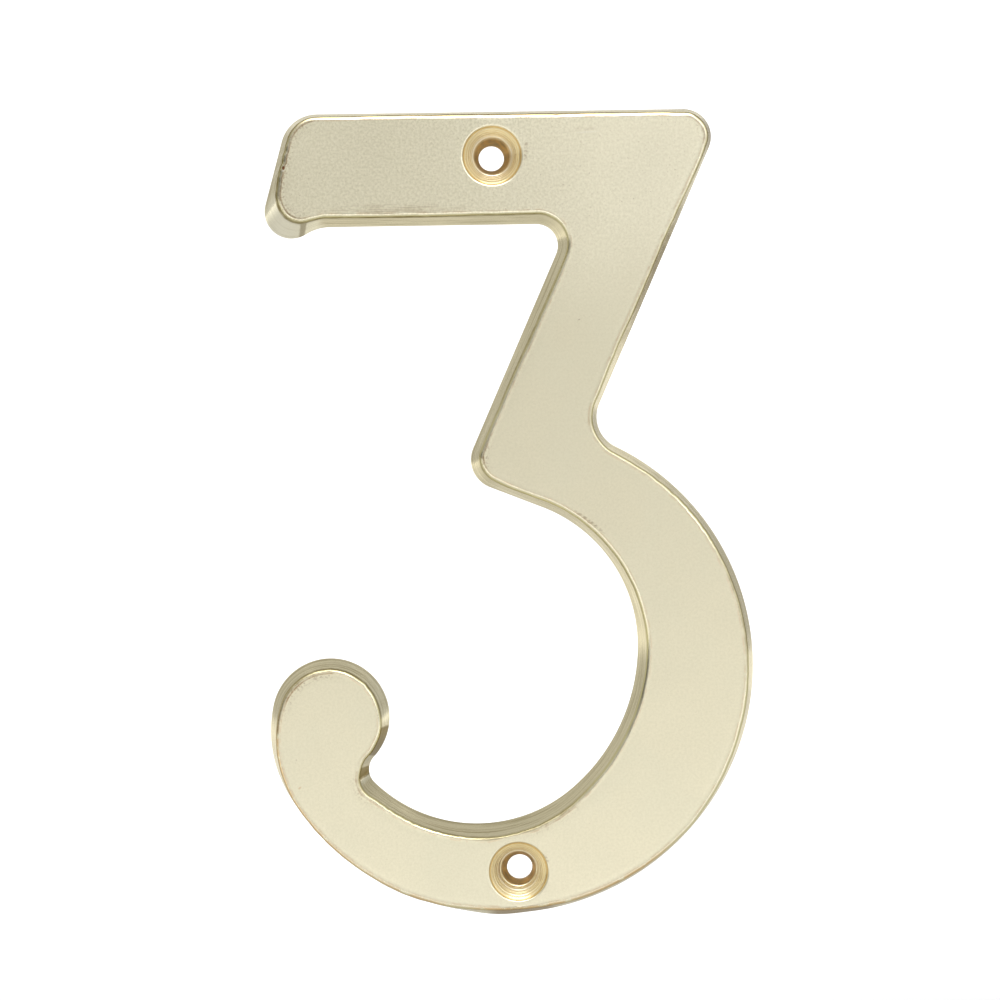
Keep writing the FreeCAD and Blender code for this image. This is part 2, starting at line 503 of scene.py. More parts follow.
    def rim(self) -> Rim:
        """The outline as matched points at the back and at the front."""
        sides = []
        for front in (False, True):
            tracks = self.tracks(front)
            ends = joined(tracks)
            sides.append(list(zip(tracks, ends[-1:] + ends[:-1], ends)))
        backs, fronts, inwards, runs = [], [], [], []
        starts: Dict[Stretch, float] = {}
        travelled = 0.0
        for stretch, (back, start, end), (front, front_start, front_end) in zip(Stretch, *sides):
            length = max(back.length(start, end), front.length(front_start, front_end))
            steps = math.ceil(length / self.spacing)
            if isinstance(back, Round):
                turned = math.degrees(back.sweep(start, end)[1])
                steps = max(steps, math.ceil(turned / self.widest_turn))
            shares = np.arange(steps) / steps
            backs.append(back.sampled(start, end, shares)[0])
            front_points, inward = front.sampled(front_start, front_end, shares)
            fronts.append(front_points)
            inwards.append(inward)
            runs.append(travelled + shares * length)
            starts[stretch] = travelled
            travelled += length
        joints = [np.concatenate(parts) for parts in (backs, fronts, inwards, runs)]
        return Rim(*joints, starts, travelled)


class MeshDraft:
    """Points, faces, zones and point values, gathered before the mesh is made."""

    def __init__(self, value_names: Sequence[str]) -> None:
        """Start empty.

        Args:
            value_names: The values that each point carries for the finishes.
        """
        self.points: List[np.ndarray] = []
        self.values: Dict[str, List[np.ndarray]] = {name: [] for name in value_names}
        self.faces: List[Tuple[int, ...]] = []
        self.zones: List[int] = []
        self.count = 0

    def add(self, points: np.ndarray, **values: Union[float, np.ndarray]) -> np.ndarray:
        """Add points.

        Args:
            points: Their places, one row each.
            values: What they carry; a value that isn't given is 0.

        Returns:
            Their numbers in the draft.
        """
        numbers = np.arange(self.count, self.count + len(points))
        self.points.append(points)
        self.count += len(points)
        for name, column in self.values.items():
            column.append(np.broadcast_to(values.get(name, 0.0), len(points)).astype(float))
        return numbers

    def bridge(self, ring: np.ndarray, following: np.ndarray, zone: Zone) -> None:
        """Join two closed rings of as many points by four-sided faces.

        Args:
            ring: Numbers of the first ring's points.
            following: Numbers of the next ring's points.
            zone: The finish that the faces take.
        """
        quads = np.column_stack([ring, np.roll(ring, -1), np.roll(following, -1), following])
        self.faces.extend(map(tuple, quads.tolist()))
        self.zones.extend([int(zone)] * len(quads))

    def fill(self, loops: Sequence[np.ndarray], loose: np.ndarray, zone: Zone) -> None:
        """Cover the area between an outer loop and the holes in it with triangles.

        Args:
            loops: Numbers of each loop's points, the outer loop first.
            loose: Numbers of the points in between.
            zone: The finish that the faces take.
        """
        numbers = np.concatenate([*loops, loose]).astype(int)
        flat = np.concatenate(self.points)[numbers][:, (0, 2)]
        edges, first = [], 0
        for loop in loops:
            count = len(loop)
            edges += [(first + step, first + (step + 1) % count) for step in range(count)]
            first += count
        inside_only, merging_distance = 1, 1e-6
        corners = [Vector(point) for point in flat]
        result = delaunay_2d_cdt(corners, edges, [], inside_only, merging_distance)
        originals = [int(numbers[group[0]]) for group in result[3]]
        mouths = [set(loop.tolist()) for loop in loops[1:]]
        triangles = [tuple(originals[index] for index in face) for face in result[2]]
        triangles = [face for face in triangles if not any(mouth.issuperset(face) for mouth in mouths)]
        self.faces.extend(triangles)
        self.zones.extend([int(zone)] * len(triangles))

    def mesh(self, name: str) -> bpy.types.Mesh:
        """The finished closed mesh, in metres.

        Args:
            name: The mesh's name.

        Returns:
            The mesh, shaded smooth, with its zones as material numbers.
        """
        mesh = bpy.data.meshes.new(name)
        points = np.concatenate(self.points) * METRES
        mesh.from_pydata(points.tolist(), [], self.faces)
        mesh.polygons.foreach_set("material_index", np.array(self.zones, dtype=np.int32))
        for value_name, columns in self.values.items():
            layer = mesh.attributes.new(value_name, "FLOAT", "POINT")
            layer.data.foreach_set("value", np.concatenate(columns).astype(np.float32))
        draft = bmesh.new()
        draft.from_mesh(mesh)
        bmesh.ops.recalc_face_normals(draft, faces=draft.faces)
        open_edges = sum(not edge.is_manifold for edge in draft.edges)
        draft.to_mesh(mesh)
        draft.free()
        mesh.shade_smooth()
        log.info("%s: %d faces, %d open edges", name, len(mesh.polygons), open_edges)
        return mesh


def inside(points: np.ndarray, loop: np.ndarray) -> np.ndarray:
    """Which points lie inside a closed loop.

    Args:
        points: The points, one row each.
        loop: The loop's corners, one row each.

    Returns:
        True for each point inside.
    """
    after = np.roll(loop, -1, axis=0)
    x, z = points[:, :1], points[:, 1:]
    straddles = (loop[:, 1] > z) != (after[:, 1] > z)
    rise = np.where(after[:, 1] == loop[:, 1], 1.0, after[:, 1] - loop[:, 1])
    meets = loop[:, 0] + (z - loop[:, 1]) / rise * (after[:, 0] - loop[:, 0])
    return (straddles & (x < meets)).sum(axis=1) % 2 == 1


def clearance(points: np.ndarray, loop: np.ndarray) -> np.ndarray:
    """The distance from each point to the nearest corner of a loop.

    Args:
        points: The points, one row each.
        loop: The loop's corners, one row each.

    Returns:
        One distance for each point.
    """
    return np.sqrt(((points[:, None, :] - loop[None, :, :]) ** 2).sum(axis=2)).min(axis=1)


@dataclass
class ScrewHole:
    """A countersunk screw hole: turned cone, tapering core and a plain bore at the back."""

    centre: Place
    bore_radius: float
    bore_length: float
    thickness: float
    run_off: Place = (0.0, 0.0)                 # how far the countersink lies off the bore's axis
    core_radius: float = 2.3
    core_run_off: Place = (0.0, 0.0)            # how far the core's mouth lies off the countersink
    countersink_radius: float = 3.78
    countersink_angle: float = 82.0
    mouth_rounding: float = 0.24
    mouth_steps: int = 6
    burr_width: float = 0.13                    # raised ring outside the mouth
    burr_height: float = 0.005
    burr_shape: Sequence[Place] = ((0.0, 0.0), (0.3, 0.0), (0.5, 0.6), (0.7, 1.0), (0.85, 0.5))
    face_reach: float = 0.5                     # depth down to which the rings follow the uneven face
    cone_rings: int = 40
    cone_gap: float = 0.03                      # between the mouth's rounding and the cone's first ring
    groove_radius: float = 3.6                  # where the cutter dwelt
    groove_depth: float = 0.05
    groove_width: float = 0.09
    ridge_pitch: float = 0.26
    ridge_depth: float = 0.010
    ridge_stray: float = 1.3                    # how far a ridge strays from the pitch, in radians
    ridge_beat: float = 0.37                    # how quickly it strays
    wobble: float = 0.02                        # how unevenly the cutter ran
    wobble_radius: float = 3.1
    wobble_width: float = 0.5
    rim_rounding: float = 0.2                   # between the cone and the core
    rim_shares: Sequence[float] = (0.45, 0.8)
    core_rings: int = 12
    core_crowding: float = 1.2                  # how much closer the core's rings lie at its mouth
    core_pull: Place = (0.9, 0.2)               # outside the core: where its run-off starts and is full
    bore_shares: Sequence[float] = (0.15, 0.5, 0.93)
    bore_flare: float = 0.02                    # at the back
    facets: int = 144
    seed: int = SEED

    @property
    def mouth_centre(self) -> np.ndarray:
        """Where the countersink's axis meets the face."""
        return np.array(self.centre) + np.array(self.run_off)

    @property
    def outer_radius(self) -> float:
        """Where the hole's rings meet the face."""
        return self.countersink_radius + self.mouth_tangent + self.burr_width

    @property
    def mouth_tangent(self) -> float:
        """How far the mouth's rounding reaches out over the face."""
        return self.mouth_rounding * math.tan(math.radians(90 - self.countersink_angle / 2) / 2)

    @property
    def slope(self) -> float:
        """How far the cone widens for each unit of depth."""
        return math.tan(math.radians(self.countersink_angle / 2))

    def cone_depth(self, radius: np.ndarray) -> np.ndarray:
        """Depth of the turned cone below the face at a radius, with its groove and ridges.

        Args:
            radius: Distance from the hole's axis.

        Returns:
            The depth of each point.
        """
        plain = (self.countersink_radius - radius) / self.slope
        groove = np.exp(-((radius - self.groove_radius) / self.groove_width) ** 2)
        phase = 2 * np.pi * radius / self.ridge_pitch
        ridges = np.sin(phase + self.ridge_stray * np.sin(self.ridge_beat * phase)) * (1 - groove)
        return plain + self.groove_depth * groove + self.ridge_depth * ridges

    def stations(self) -> List[Tuple[float, float, Zone]]:
        """Radius, depth below the face and zone of each ring, from the face to the back.

        Returns:
            One entry for each ring; the zone is that of the band outside it.
        """
        lean = math.radians(90 - self.countersink_angle / 2)
        start = self.countersink_radius + self.mouth_tangent
        rings: List[Tuple[float, float, Zone]] = []
        for share, rise in self.burr_shape:
            radius = self.outer_radius + (start - self.outer_radius) * share
            rings.append((radius, -self.burr_height * rise, Zone.FACE))
        for turned in np.linspace(0, lean, self.mouth_steps):
            radius = start - self.mouth_rounding * math.sin(turned)
            rings.append((radius, self.mouth_rounding * (1 - math.cos(turned)), Zone.FACE))
        cone_start = rings[-1][0] - self.cone_gap
        rim = self.core_radius + self.rim_rounding
        for radius in np.linspace(cone_start, rim, self.cone_rings):
            rings.append((radius, float(self.cone_depth(np.array(radius))), Zone.CONE))
        rim_depth = rings[-1][1]
        core_end = self.thickness - self.bore_length
        core_start = rim_depth + 2 * self.rim_rounding
        for share in self.rim_shares:
            depth = rim_depth + self.rim_rounding * share ** 2
            rings.append((rim - self.rim_rounding * share, depth, Zone.CONE))
        for share in np.linspace(0, 1, self.core_rings) ** self.core_crowding:
            radius = self.core_radius + (self.bore_radius - self.core_radius) * share
            rings.append((radius, core_start + (core_end - core_start) * share, Zone.CORE))
        for share in self.bore_shares:
            rings.append((self.bore_radius, core_end + self.bore_length * share, Zone.CORE))
        rings.append((self.bore_radius + self.bore_flare, self.thickness, Zone.CORE))
        return rings

    def build(self, draft: MeshDraft, face_height: "FaceHeight") -> Tuple[np.ndarray, np.ndarray]:
        """Add the hole's rings to the draft.

        Args:
            draft: The mesh under way.
            face_height: How far the face stands behind its plane.

        Returns:
            The numbers of the outermost ring's points, on the face, and of the last ring's, on the back.
        """
        dice = np.random.default_rng(self.seed)
        angles = 2 * np.pi * np.arange(self.facets) / self.facets
        around = np.column_stack([np.cos(angles), np.sin(angles)])
        off = dice.uniform(-1, 1, 2)
        rings = []
        stations = self.stations()
        pull_start, pull_full = self.core_pull
        for radius, depth, _ in stations:
            shift = np.clip((radius - self.bore_radius) / (self.core_radius - self.bore_radius), 0, 1)
            near_core = np.clip((self.core_radius + pull_start - radius) / (pull_start - pull_full), 0, 1)
            off_axis = np.array(self.run_off) + np.array(self.core_run_off) * near_core
            ring = np.array(self.centre) + off_axis * shift + around * radius
            away = np.hypot(*(ring - self.mouth_centre).T)
            on_cone = depth + (radius - away) / self.slope * shift * (near_core > 0)
            wobbling = math.exp(-((radius - self.wobble_radius) / self.wobble_width) ** 2)
            run_out = self.wobble * (around @ off) * wobbling
            height = face_height.at(ring) if depth < self.face_reach else 0.0
            places = upright(ring, -self.thickness + on_cone + run_out + height)
            from_axis = away if radius > self.core_radius else radius
            below = np.maximum(on_cone, 0.0)
            rings.append(draft.add(places, ring_mm=from_axis, depth_mm=below, edge_mm=FAR_FROM_EDGE))
        for ring, following, (_, _, zone) in zip(rings, rings[1:], stations[1:]):
            draft.bridge(ring, following, zone)
        return rings[0], rings[-1]


@dataclass
class FaceHeight:
    """The slight unevenness of the polished face, as depth behind its true plane."""

    waviness: float = 0.010
    shortest: float = 7.0
    longest: float = 26.0
    waves: int = 10
    seed: int = SEED

    def at(self, places: np.ndarray) -> np.ndarray:
        """The depth at some places of the face.

        Args:
            places: X and Z of each.

        Returns:
            Depth behind the true plane.
        """
        dice = np.random.default_rng(self.seed)
        lengths = np.exp(dice.uniform(math.log(self.shortest), math.log(self.longest), self.waves))
        ways = dice.uniform(0, np.pi, self.waves)
        phases = dice.uniform(0, 2 * np.pi, self.waves)
        along = places[:, :1] * np.cos(ways) + places[:, 1:] * np.sin(ways)
        return self.waviness * (1 + np.sin(2 * np.pi * along / lengths + phases)).mean(axis=1)


@dataclass(frozen=True)
class DressedEdge:
    """The rounding between the wall and the face, with a row for each point of the rim."""

    corner: np.ndarray              # where the wall and the face would meet
    foot: np.ndarray                # where the wall stands on the back
    inward: np.ndarray              # the direction into the face
    radius: np.ndarray
    uneven: np.ndarray              # how far the edge strays inwards over a short way

    @property
    def down_wall(self) -> np.ndarray:
        """The direction down the wall."""
        return unit(self.foot - self.corner)

    @property
    def half_angle(self) -> np.ndarray:
        """Half the angle between the wall and the face."""
        return np.arccos((self.down_wall * self.inward).sum(axis=1)) / 2

    @property
    def tangent(self) -> np.ndarray:
        """How far from the corner the rounding starts and ends."""
        return (self.radius / np.tan(self.half_angle))[:, None]

    @property
    def wall_end(self) -> np.ndarray:
        """Where the wall goes over into the rounding."""
        return self.corner + self.down_wall * self.tangent

    def rounded(self, share: float) -> np.ndarray:
        """The points of the rounding at a share of the way from the wall to the face.

        Args:
            share: 0 at the wall, 1 at the face.

        Returns:
            The points.
        """
        to_middle = (self.radius / np.sin(self.half_angle))[:, None]
        middle = self.corner + unit(self.down_wall + self.inward) * to_middle
        first = unit(self.wall_end - middle)
        last = unit(self.corner + self.inward * self.tangent - middle)
        turned = np.arccos((first * last).sum(axis=1))[:, None]
        spoke = (np.sin((1 - share) * turned) * first + np.sin(share * turned) * last) / np.sin(turned)
        return middle + spoke * self.radius[:, None]


@dataclass
class Casting:
    """The numeral's body: drafted walls, hand-dressed edges, a polished face and a ground back."""

    outline: NumeralOutline
    holes: Sequence[ScrewHole]
    face_height: FaceHeight = field(default_factory=FaceHeight)
    rounding: float = 0.5
    rounding_limits: Place = (0.2, 0.8)
    rounding_wander: float = 0.05               # as a share of the rounding
    rounding_steps: int = 7
    wall_steps: int = 12
    back_bevel: float = 0.1
    roll_off: Sequence[Place] = ((0.2, 0.022), (0.5, 0.009), (0.9, 0.003), (1.3, 0.0))     # way in, drop
    least_roll_off: float = 0.03                # share of it that is left beside a screw hole
    grid: float = 1.2                           # between points inside the face
    grid_margin: float = 0.7
    hole_gap: float = 0.08                      # face left between the roll-off and a hole's burr
    edge_wander: float = 0.012
    bead_height: float = 0.022
    bead_rounding: float = 0.03                 # how much a bead changes the rounding
    wall_relief: float = 0.009
    wall_waves: Sequence[float] = (0.9, 1.7, 2.6)       # waves between the back and the front
    wall_fade: float = 0.25                     # share of the wall over which the relief fades out
    edge_touches: Sequence[Touch] = touches(
        (Stretch.TOP, (0.75, 24, -0.22), (0.2, 24, -0.18)),
        (Stretch.END, (0.5, 8, -0.12)),
        (Stretch.TOE, (0.55, 5, -0.12), (0.25, 6, 0.28), (0.9, 5, -0.16)),
        (Stretch.UNDERSIDE, (0.3, 17, -0.12)),
        (Stretch.DIAGONAL_LEFT, (0.15, 16, 0.24)),
        (Stretch.HEEL, (0.6, 5, 0.26)),
        (Stretch.HEEL_SLOPE, (0.4, 7, -0.1)),
        (Stretch.HOLLOW_TOP, (0.5, 12, 0.08), (0.5, 15, -0.3)),
        (Stretch.HOLLOW_SIDE, (0.55, 14, -0.22)),
        (Stretch.HOLLOW_FOOT, (0.35, 15, 0.33)),
        (Stretch.NECK, (0.1, 3, 0.3), (0.85, 4, -0.1)),
        (Stretch.BALL, (0.1, 5, -0.12), (0.45, 9, 0.12), (0.87, 9, 0.18)),
        (Stretch.LONG_ARC, (0.05, 13.7, -0.44), (0.25, 13.7, -0.4), (0.5, 11, 0.2), (0.88, 14, -0.12)),
        (Stretch.SHOULDER, (0.78, 12, -0.14)),
        (Stretch.NOTCH, (0.1, 5, -0.1)),
        (Stretch.DIAGONAL_RIGHT, (0.9, 12, -0.5), (0.45, 15, -0.28), (0.0, 10, -0.28)),
        (Stretch.TOP_RIGHT, (0.5, 6, 0.26)),
    )
    back_touches: Sequence[Touch] = touches(
        (Stretch.LONG_ARC, (0.46, 4.5, 0.16), (0.2, 5, 0.06)),
    )
    softer_edges: Sequence[Touch] = touches(
        (Stretch.TOP, (0.5, 36, 0.16)),
        (Stretch.TOP_LEFT, (0.5, 6, -0.15)),
        (Stretch.END, (0.5, 9, 0.12)),
        (Stretch.TOE, (0.3, 5, 0.2)),
        (Stretch.HEEL, (0.5, 10, 0.1)),
        (Stretch.HOLLOW_FOOT, (0.6, 15, -0.14), (0.28, 11, -0.26)),
        (Stretch.NECK, (0.2, 9, -0.12)),
        (Stretch.BALL, (0.4, 12, -0.14), (0.8, 9, -0.15)),
        (Stretch.FLANK, (0.6, 12, -0.16)),
        (Stretch.LONG_ARC, (0.12, 18, -0.2), (0.48, 18, -0.18), (0.82, 18, -0.14)),
        (Stretch.SHOULDER, (0.5, 15, -0.2), (0.9, 10, -0.16)),
        (Stretch.NOTCH, (0.5, 7, -0.14)),
        (Stretch.DIAGONAL_RIGHT, (0.5, 26, -0.16)),
        (Stretch.TOP_RIGHT, (0.4, 6, -0.12)),
    )
    nicks: Sequence[Touch] = touches(
        (Stretch.TOP, (0.35, 0.7, 0.07)),
        (Stretch.END, (0.45, 0.6, 0.16), (0.2, 0.6, 0.08)),
        (Stretch.HOLLOW_FOOT, (0.74, 0.5, 0.06), (0.12, 0.8, 0.03)),
        (Stretch.BALL, (0.42, 0.7, -0.08)),
        (Stretch.SHOULDER, (0.86, 0.8, 0.06), (0.81, 0.6, 0.08)),
        (Stretch.DIAGONAL_RIGHT, (0.62, 1.2, 0.06), (0.71, 1.2, -0.04)),
    )
    beaded: Sequence[Touch] = touches(
        (Stretch.END, (0.5, 6, 0.9)),
        (Stretch.HOLLOW_FOOT, (0.75, 13, 1.0), (0.25, 9, 0.8)),
        (Stretch.BALL, (0.65, 8, 0.8)),
        (Stretch.SHOULDER, (0.7, 8, 0.8)),
        (Stretch.DIAGONAL_RIGHT, (0.6, 8, 0.4)),
    )
    rubbed: Sequence[Touch] = touches(
        (Stretch.TOP, (0.5, 40, 0.45)),
        (Stretch.FLANK, (0.5, 12, 0.5)),
        (Stretch.LONG_ARC, (0.1, 14, 0.5), (0.3, 9, 0.5), (0.5, 9, 1.2), (0.7, 14, 0.6)),
    )
    grimy: Sequence[Touch] = touches(
        (Stretch.TOP_LEFT, (0.4, 5, 0.8)),
        (Stretch.END, (0.5, 9, 0.9)),
        (Stretch.TOE, (0.4, 8, 0.9)),
        (Stretch.UNDERSIDE, (0.3, 16, 0.15)),
        (Stretch.INNER_CORNER, (0.8, 4, 0.3)),
        (Stretch.DIAGONAL_LEFT, (0.5, 14, 0.35)),
        (Stretch.HEEL, (0.2, 6, 0.7)),
        (Stretch.HOLLOW_TOP, (0.25, 4, 0.3)),
        (Stretch.HOLLOW_FOOT, (0.12, 9, 0.5), (0.9, 4, 0.3)),
        (Stretch.NECK, (0.2, 4, 0.5)),
        (Stretch.BALL, (0.8, 11, 0.9)),
        (Stretch.SHOULDER, (0.52, 12, 0.1)),
        (Stretch.NOTCH, (0.6, 4, 0.2)),
        (Stretch.DIAGONAL_RIGHT, (0.3, 22, 0.1)),
        (Stretch.TOP_RIGHT, (0.2, 4, 0.5)),
    )
    # painted shade: where the edge's highlight is dimmed by a darker colour on the rounding
    dull: Sequence[Touch] = touches(
        (Stretch.TOP_LEFT, (0.4, 6, 0.5)),
        (Stretch.END, (0.5, 9, 0.15)),
        (Stretch.TOE, (0.3, 7, 0.4)),
        (Stretch.INNER_CORNER, (0.7, 4, 0.5)),
        (Stretch.DIAGONAL_LEFT, (0.4, 16, 0.25)),
        (Stretch.HEEL, (0.3, 5, 0.3)),
        (Stretch.HOLLOW_FOOT, (0.25, 14, 1.3)),
        (Stretch.NECK, (0.5, 5, 0.6)),
        (Stretch.BALL, (0.8, 11, 0.9)),
        (Stretch.SHOULDER, (0.45, 13, 1.2), (0.9, 9, 0.5)),
        (Stretch.NOTCH, (0.6, 6, 0.4)),
        (Stretch.DIAGONAL_RIGHT, (0.5, 26, 0.5)),
        (Stretch.TOP_RIGHT, (0.2, 4, 0.3)),
    )
    # painted shade: where the walls are darkened, standing in for dark reflections
    painted_wall_shade: Sequence[Touch] = touches(
        (Stretch.TOE, (0.93, 1.1, 0.6)),
        (Stretch.DIAGONAL_LEFT, (0.5, 16, 0.3)),
        (Stretch.HOLLOW_TOP, (0.6, 14, 0.32)),
        (Stretch.HOLLOW_FOOT, (0.45, 18, 0.3)),
        (Stretch.NECK, (0.42, 0.5, 0.8)),
        (Stretch.BALL, (0.03, 5.5, 1.8)),
        (Stretch.DIAGONAL_RIGHT, (0.5, 34, 0.46)),
        (Stretch.TOP_RIGHT, (0.4, 7, 0.25)),
    )
    # painted light: where the walls are made paler, as where they face the bright floor
    painted_wall_light: Sequence[Touch] = touches(
        (Stretch.TOE, (0.8, 7, 0.9), (0.4, 8, 0.6)),
        (Stretch.NECK, (0.85, 1.3, 2.6), (0.3, 1.2, 0.5)),
        (Stretch.BALL, (0.2, 2.5, 0.25), (0.3, 5, 0.25), (0.5, 11, 0.3)),
        (Stretch.SHOULDER, (0.2, 9, 0.3)),
    )
    # partly grime, partly painted shade: how strong the dark line is where the wall meets the edge
    lined: Sequence[Touch] = touches(
        (Stretch.TOP, (0.5, 40, 0.8)),
        (Stretch.TOP_LEFT, (0.5, 6, 1.0)),
        (Stretch.END, (0.5, 10, 1.0)),
        (Stretch.TOE, (0.5, 12, 0.9)),
        (Stretch.UNDERSIDE, (0.25, 14, 1.0), (0.8, 14, 0.6)),
        (Stretch.DIAGONAL_LEFT, (0.5, 16, 0.7)),
        (Stretch.HEEL, (0.5, 6, 0.4)),
        (Stretch.HEEL_SLOPE, (0.5, 8, 0.3)),
        (Stretch.HOLLOW_TOP, (0.5, 14, 0.4)),
        (Stretch.HOLLOW_FOOT, (0.6, 14, 0.5)),
        (Stretch.NECK, (0.7, 4, 0.8)),
        (Stretch.BALL, (0.5, 22, 0.8)),
        (Stretch.LONG_ARC, (0.5, 30, 0.5)),
        (Stretch.SHOULDER, (0.6, 14, 0.6)),
        (Stretch.NOTCH, (0.5, 7, 0.3)),
        (Stretch.DIAGONAL_RIGHT, (0.95, 6, 0.8)),
        (Stretch.TOP_RIGHT, (0.5, 6, 1.0)),
    )

    def touched(self, rim: Rim, places: Sequence[Touch]) -> np.ndarray:
        """What a set of touches adds up to along the rim.

        Args:
            rim: The outline's points.
            places: The touches.

        Returns:
            The amount at every point of the rim.
        """
        bells = [touch.amount * rim.bell(touch.stretch, touch.share, touch.reach) for touch in places]
        return np.sum(bells, axis=0)

    def wear_and_painted_light(self, rim: Rim) -> Dict[str, np.ndarray]:
        """How strong each kind of wear, painted light and painted shade is along the rim, from 0 to 1.

        Args:
            rim: The outline's points.

        Returns:
            The strengths at every point of the rim, by the name that the finishes know them by; dull and
            oil are painted shade, pale is painted light and line is partly painted shade.
        """
        kinds = {"rub": self.rubbed, "grime": self.grimy, "dull": self.dull,
                 "oil": self.painted_wall_shade, "pale": self.painted_wall_light, "line": self.lined}
        return {name: np.clip(self.touched(rim, places), 0, 1) for name, places in kinds.items()}

    def wall_bulge(self, rim: Rim, share: float) -> np.ndarray:
        """How far the tooled wall stands out of its ruled surface.

        Args:
            rim: The outline's points.
            share: How far up the wall, from 0 at the back to 1 at the front.

        Returns:
            The height at every point of the rim.
        """
        bulge = np.zeros(len(rim.run))
        for number, cycles in enumerate(self.wall_waves):
            drift = 1.5 * rim.ripple(SEED + 10 + number, shortest=25, longest=90, waves=5)
            strength = 0.6 + 0.4 * rim.ripple(SEED + 20 + number, shortest=15, longest=60, waves=5)
            bulge += strength * np.sin(2 * np.pi * cycles * share + drift) / cycles
        fades = [math.sin(math.pi * min(1.0, part / self.wall_fade) / 2) for part in (share, 1 - share)]
        return self.wall_relief * fades[0] * fades[1] * bulge

    def dressed_edge(self, rim: Rim) -> DressedEdge:
        """The front edge as the file and the polishing wheel left it.

        Args:
            rim: The outline's points.

        Returns:
            The edge.
        """
        beads = self.touched(rim, self.beaded)
        uneven = self.edge_wander * rim.ripple(SEED + 1, shortest=2.0, longest=12)
        uneven = uneven + self.bead_height * beads * rim.ripple(SEED + 2, shortest=0.9, longest=2.4)
        uneven = uneven + self.touched(rim, self.nicks)
        radius = self.rounding + self.touched(rim, self.softer_edges)
        radius = radius * (1 + self.rounding_wander * rim.ripple(SEED + 3, shortest=2.5, longest=12))
        radius = radius + self.bead_rounding * beads * rim.ripple(SEED + 4, shortest=1.0, longest=2.6)
        moved = self.touched(rim, self.edge_touches) + uneven
        front = rim.front + rim.inward * moved[:, None]
        back = rim.back - rim.inward * self.touched(rim, self.back_touches)[:, None]
        return DressedEdge(upright(front, -self.outline.thickness), upright(back), upright(rim.inward),
                           np.clip(radius, *self.rounding_limits), uneven)

    def side_rings(self, rim: Rim, edge: DressedEdge, wear_and_painted_light: Dict[str, np.ndarray],
                   draft: MeshDraft) -> List[Tuple[np.ndarray, Zone]]:
        """Add the rings from the back, up the wall and round the edge to the flat of the face.

        Args:
            rim: The outline's points.
            edge: The dressed front edge.
            wear_and_painted_light: The wear, painted light and painted shade along the rim.
            draft: The mesh under way.

        Returns:
            The numbers of each ring's points and the zone of the band before it.
        """
        thickness = self.outline.thickness
        wall_end = edge.wall_end
        bevel_side = edge.foot + (wall_end - edge.foot) * (self.back_bevel / thickness)
        bevel_back = edge.foot + edge.inward * self.back_bevel
        rings = [(draft.add(bevel_back, edge_mm=thickness, **wear_and_painted_light), Zone.BACK)]
        for share in np.linspace(0, 1, self.wall_steps):
            way = bevel_side + (wall_end - bevel_side) * share
            way = way - edge.inward * self.wall_bulge(rim, float(share))[:, None]
            away = np.linalg.norm(way - edge.corner, axis=1)
            rings.append((draft.add(way, edge_mm=away, **wear_and_painted_light), Zone.WALL))
        tangent = edge.tangent[:, 0]
        for step in range(1, self.rounding_steps + 1):
            share = step / self.rounding_steps
            zone = Zone.WALL if share < 0.5 else Zone.FACE
            rings.append((draft.add(edge.rounded(share), edge_mm=(1 - 2 * share) * tangent, **wear_and_painted_light), zone))
        room = self.room(edge.corner[:, (0, 2)] + rim.inward * edge.tangent)
        for distance, drop in self.roll_off:
            settled = distance / self.roll_off[-1][0]
            further = distance * room[:, None] - settled * edge.uneven[:, None] * room[:, None]
            place = edge.corner + edge.inward * (edge.tangent + further)
            place[:, 1] += drop + settled * self.face_height.at(place[:, (0, 2)])
            rings.append((draft.add(place, edge_mm=-(distance + tangent), **wear_and_painted_light), Zone.FACE))
        return rings

    def build(self) -> bpy.types.Mesh:
        """The casting as one closed mesh."""
        rim = self.outline.rim()
        wear_and_painted_light = self.wear_and_painted_light(rim)
        thickness = self.outline.thickness
        draft = MeshDraft(("edge_mm", *wear_and_painted_light, "ring_mm", "depth_mm"))
        rings = self.side_rings(rim, self.dressed_edge(rim), wear_and_painted_light, draft)
        for (ring, _), (following, zone) in zip(rings, rings[1:]):
            draft.bridge(ring, following, zone)
        back_ring, face_ring = rings[0][0], rings[-1][0]
        sides = np.concatenate(draft.points)[:, (0, 2)]
        mouths, bores = zip(*[hole.build(draft, self.face_height) for hole in self.holes])

        inner = sides[face_ring]
        loose = self.scattered(inner)
        from_rim = clearance(loose, inner) + self.roll_off[-1][0] + self.rounding
        nearest = ((loose[:, None, :] - inner[None, :, :]) ** 2).sum(axis=2).argmin(axis=1)
        numbers = draft.add(upright(loose, self.face_height.at(loose) - thickness), edge_mm=-from_rim,
                            rub=wear_and_painted_light["rub"][nearest], grime=wear_and_painted_light["grime"][nearest])
        draft.fill([face_ring, *mouths], numbers, Zone.FACE)
        numbers = draft.add(upright(self.scattered(sides[back_ring])), edge_mm=thickness)
        draft.fill([back_ring, *bores], numbers, Zone.BACK)
        return draft.mesh("brass_numeral")

    def room(self, places: np.ndarray) -> np.ndarray:
        """How much of the roll-off fits between the edge and the screw holes.

        Args:
            places: Where the edge's rounding ends on the face, X and Z.

        Returns:
            A share of the whole roll-off for each place.
        """
        gaps = np.min([np.linalg.norm(places - hole.mouth_centre, axis=1) - hole.outer_radius
                       for hole in self.holes], axis=0)
        log.info("least flat between the edge and a screw hole: %.2f mm", gaps.min())
        return np.clip((gaps - self.hole_gap) / self.roll_off[-1][0], self.least_roll_off, 1.0)

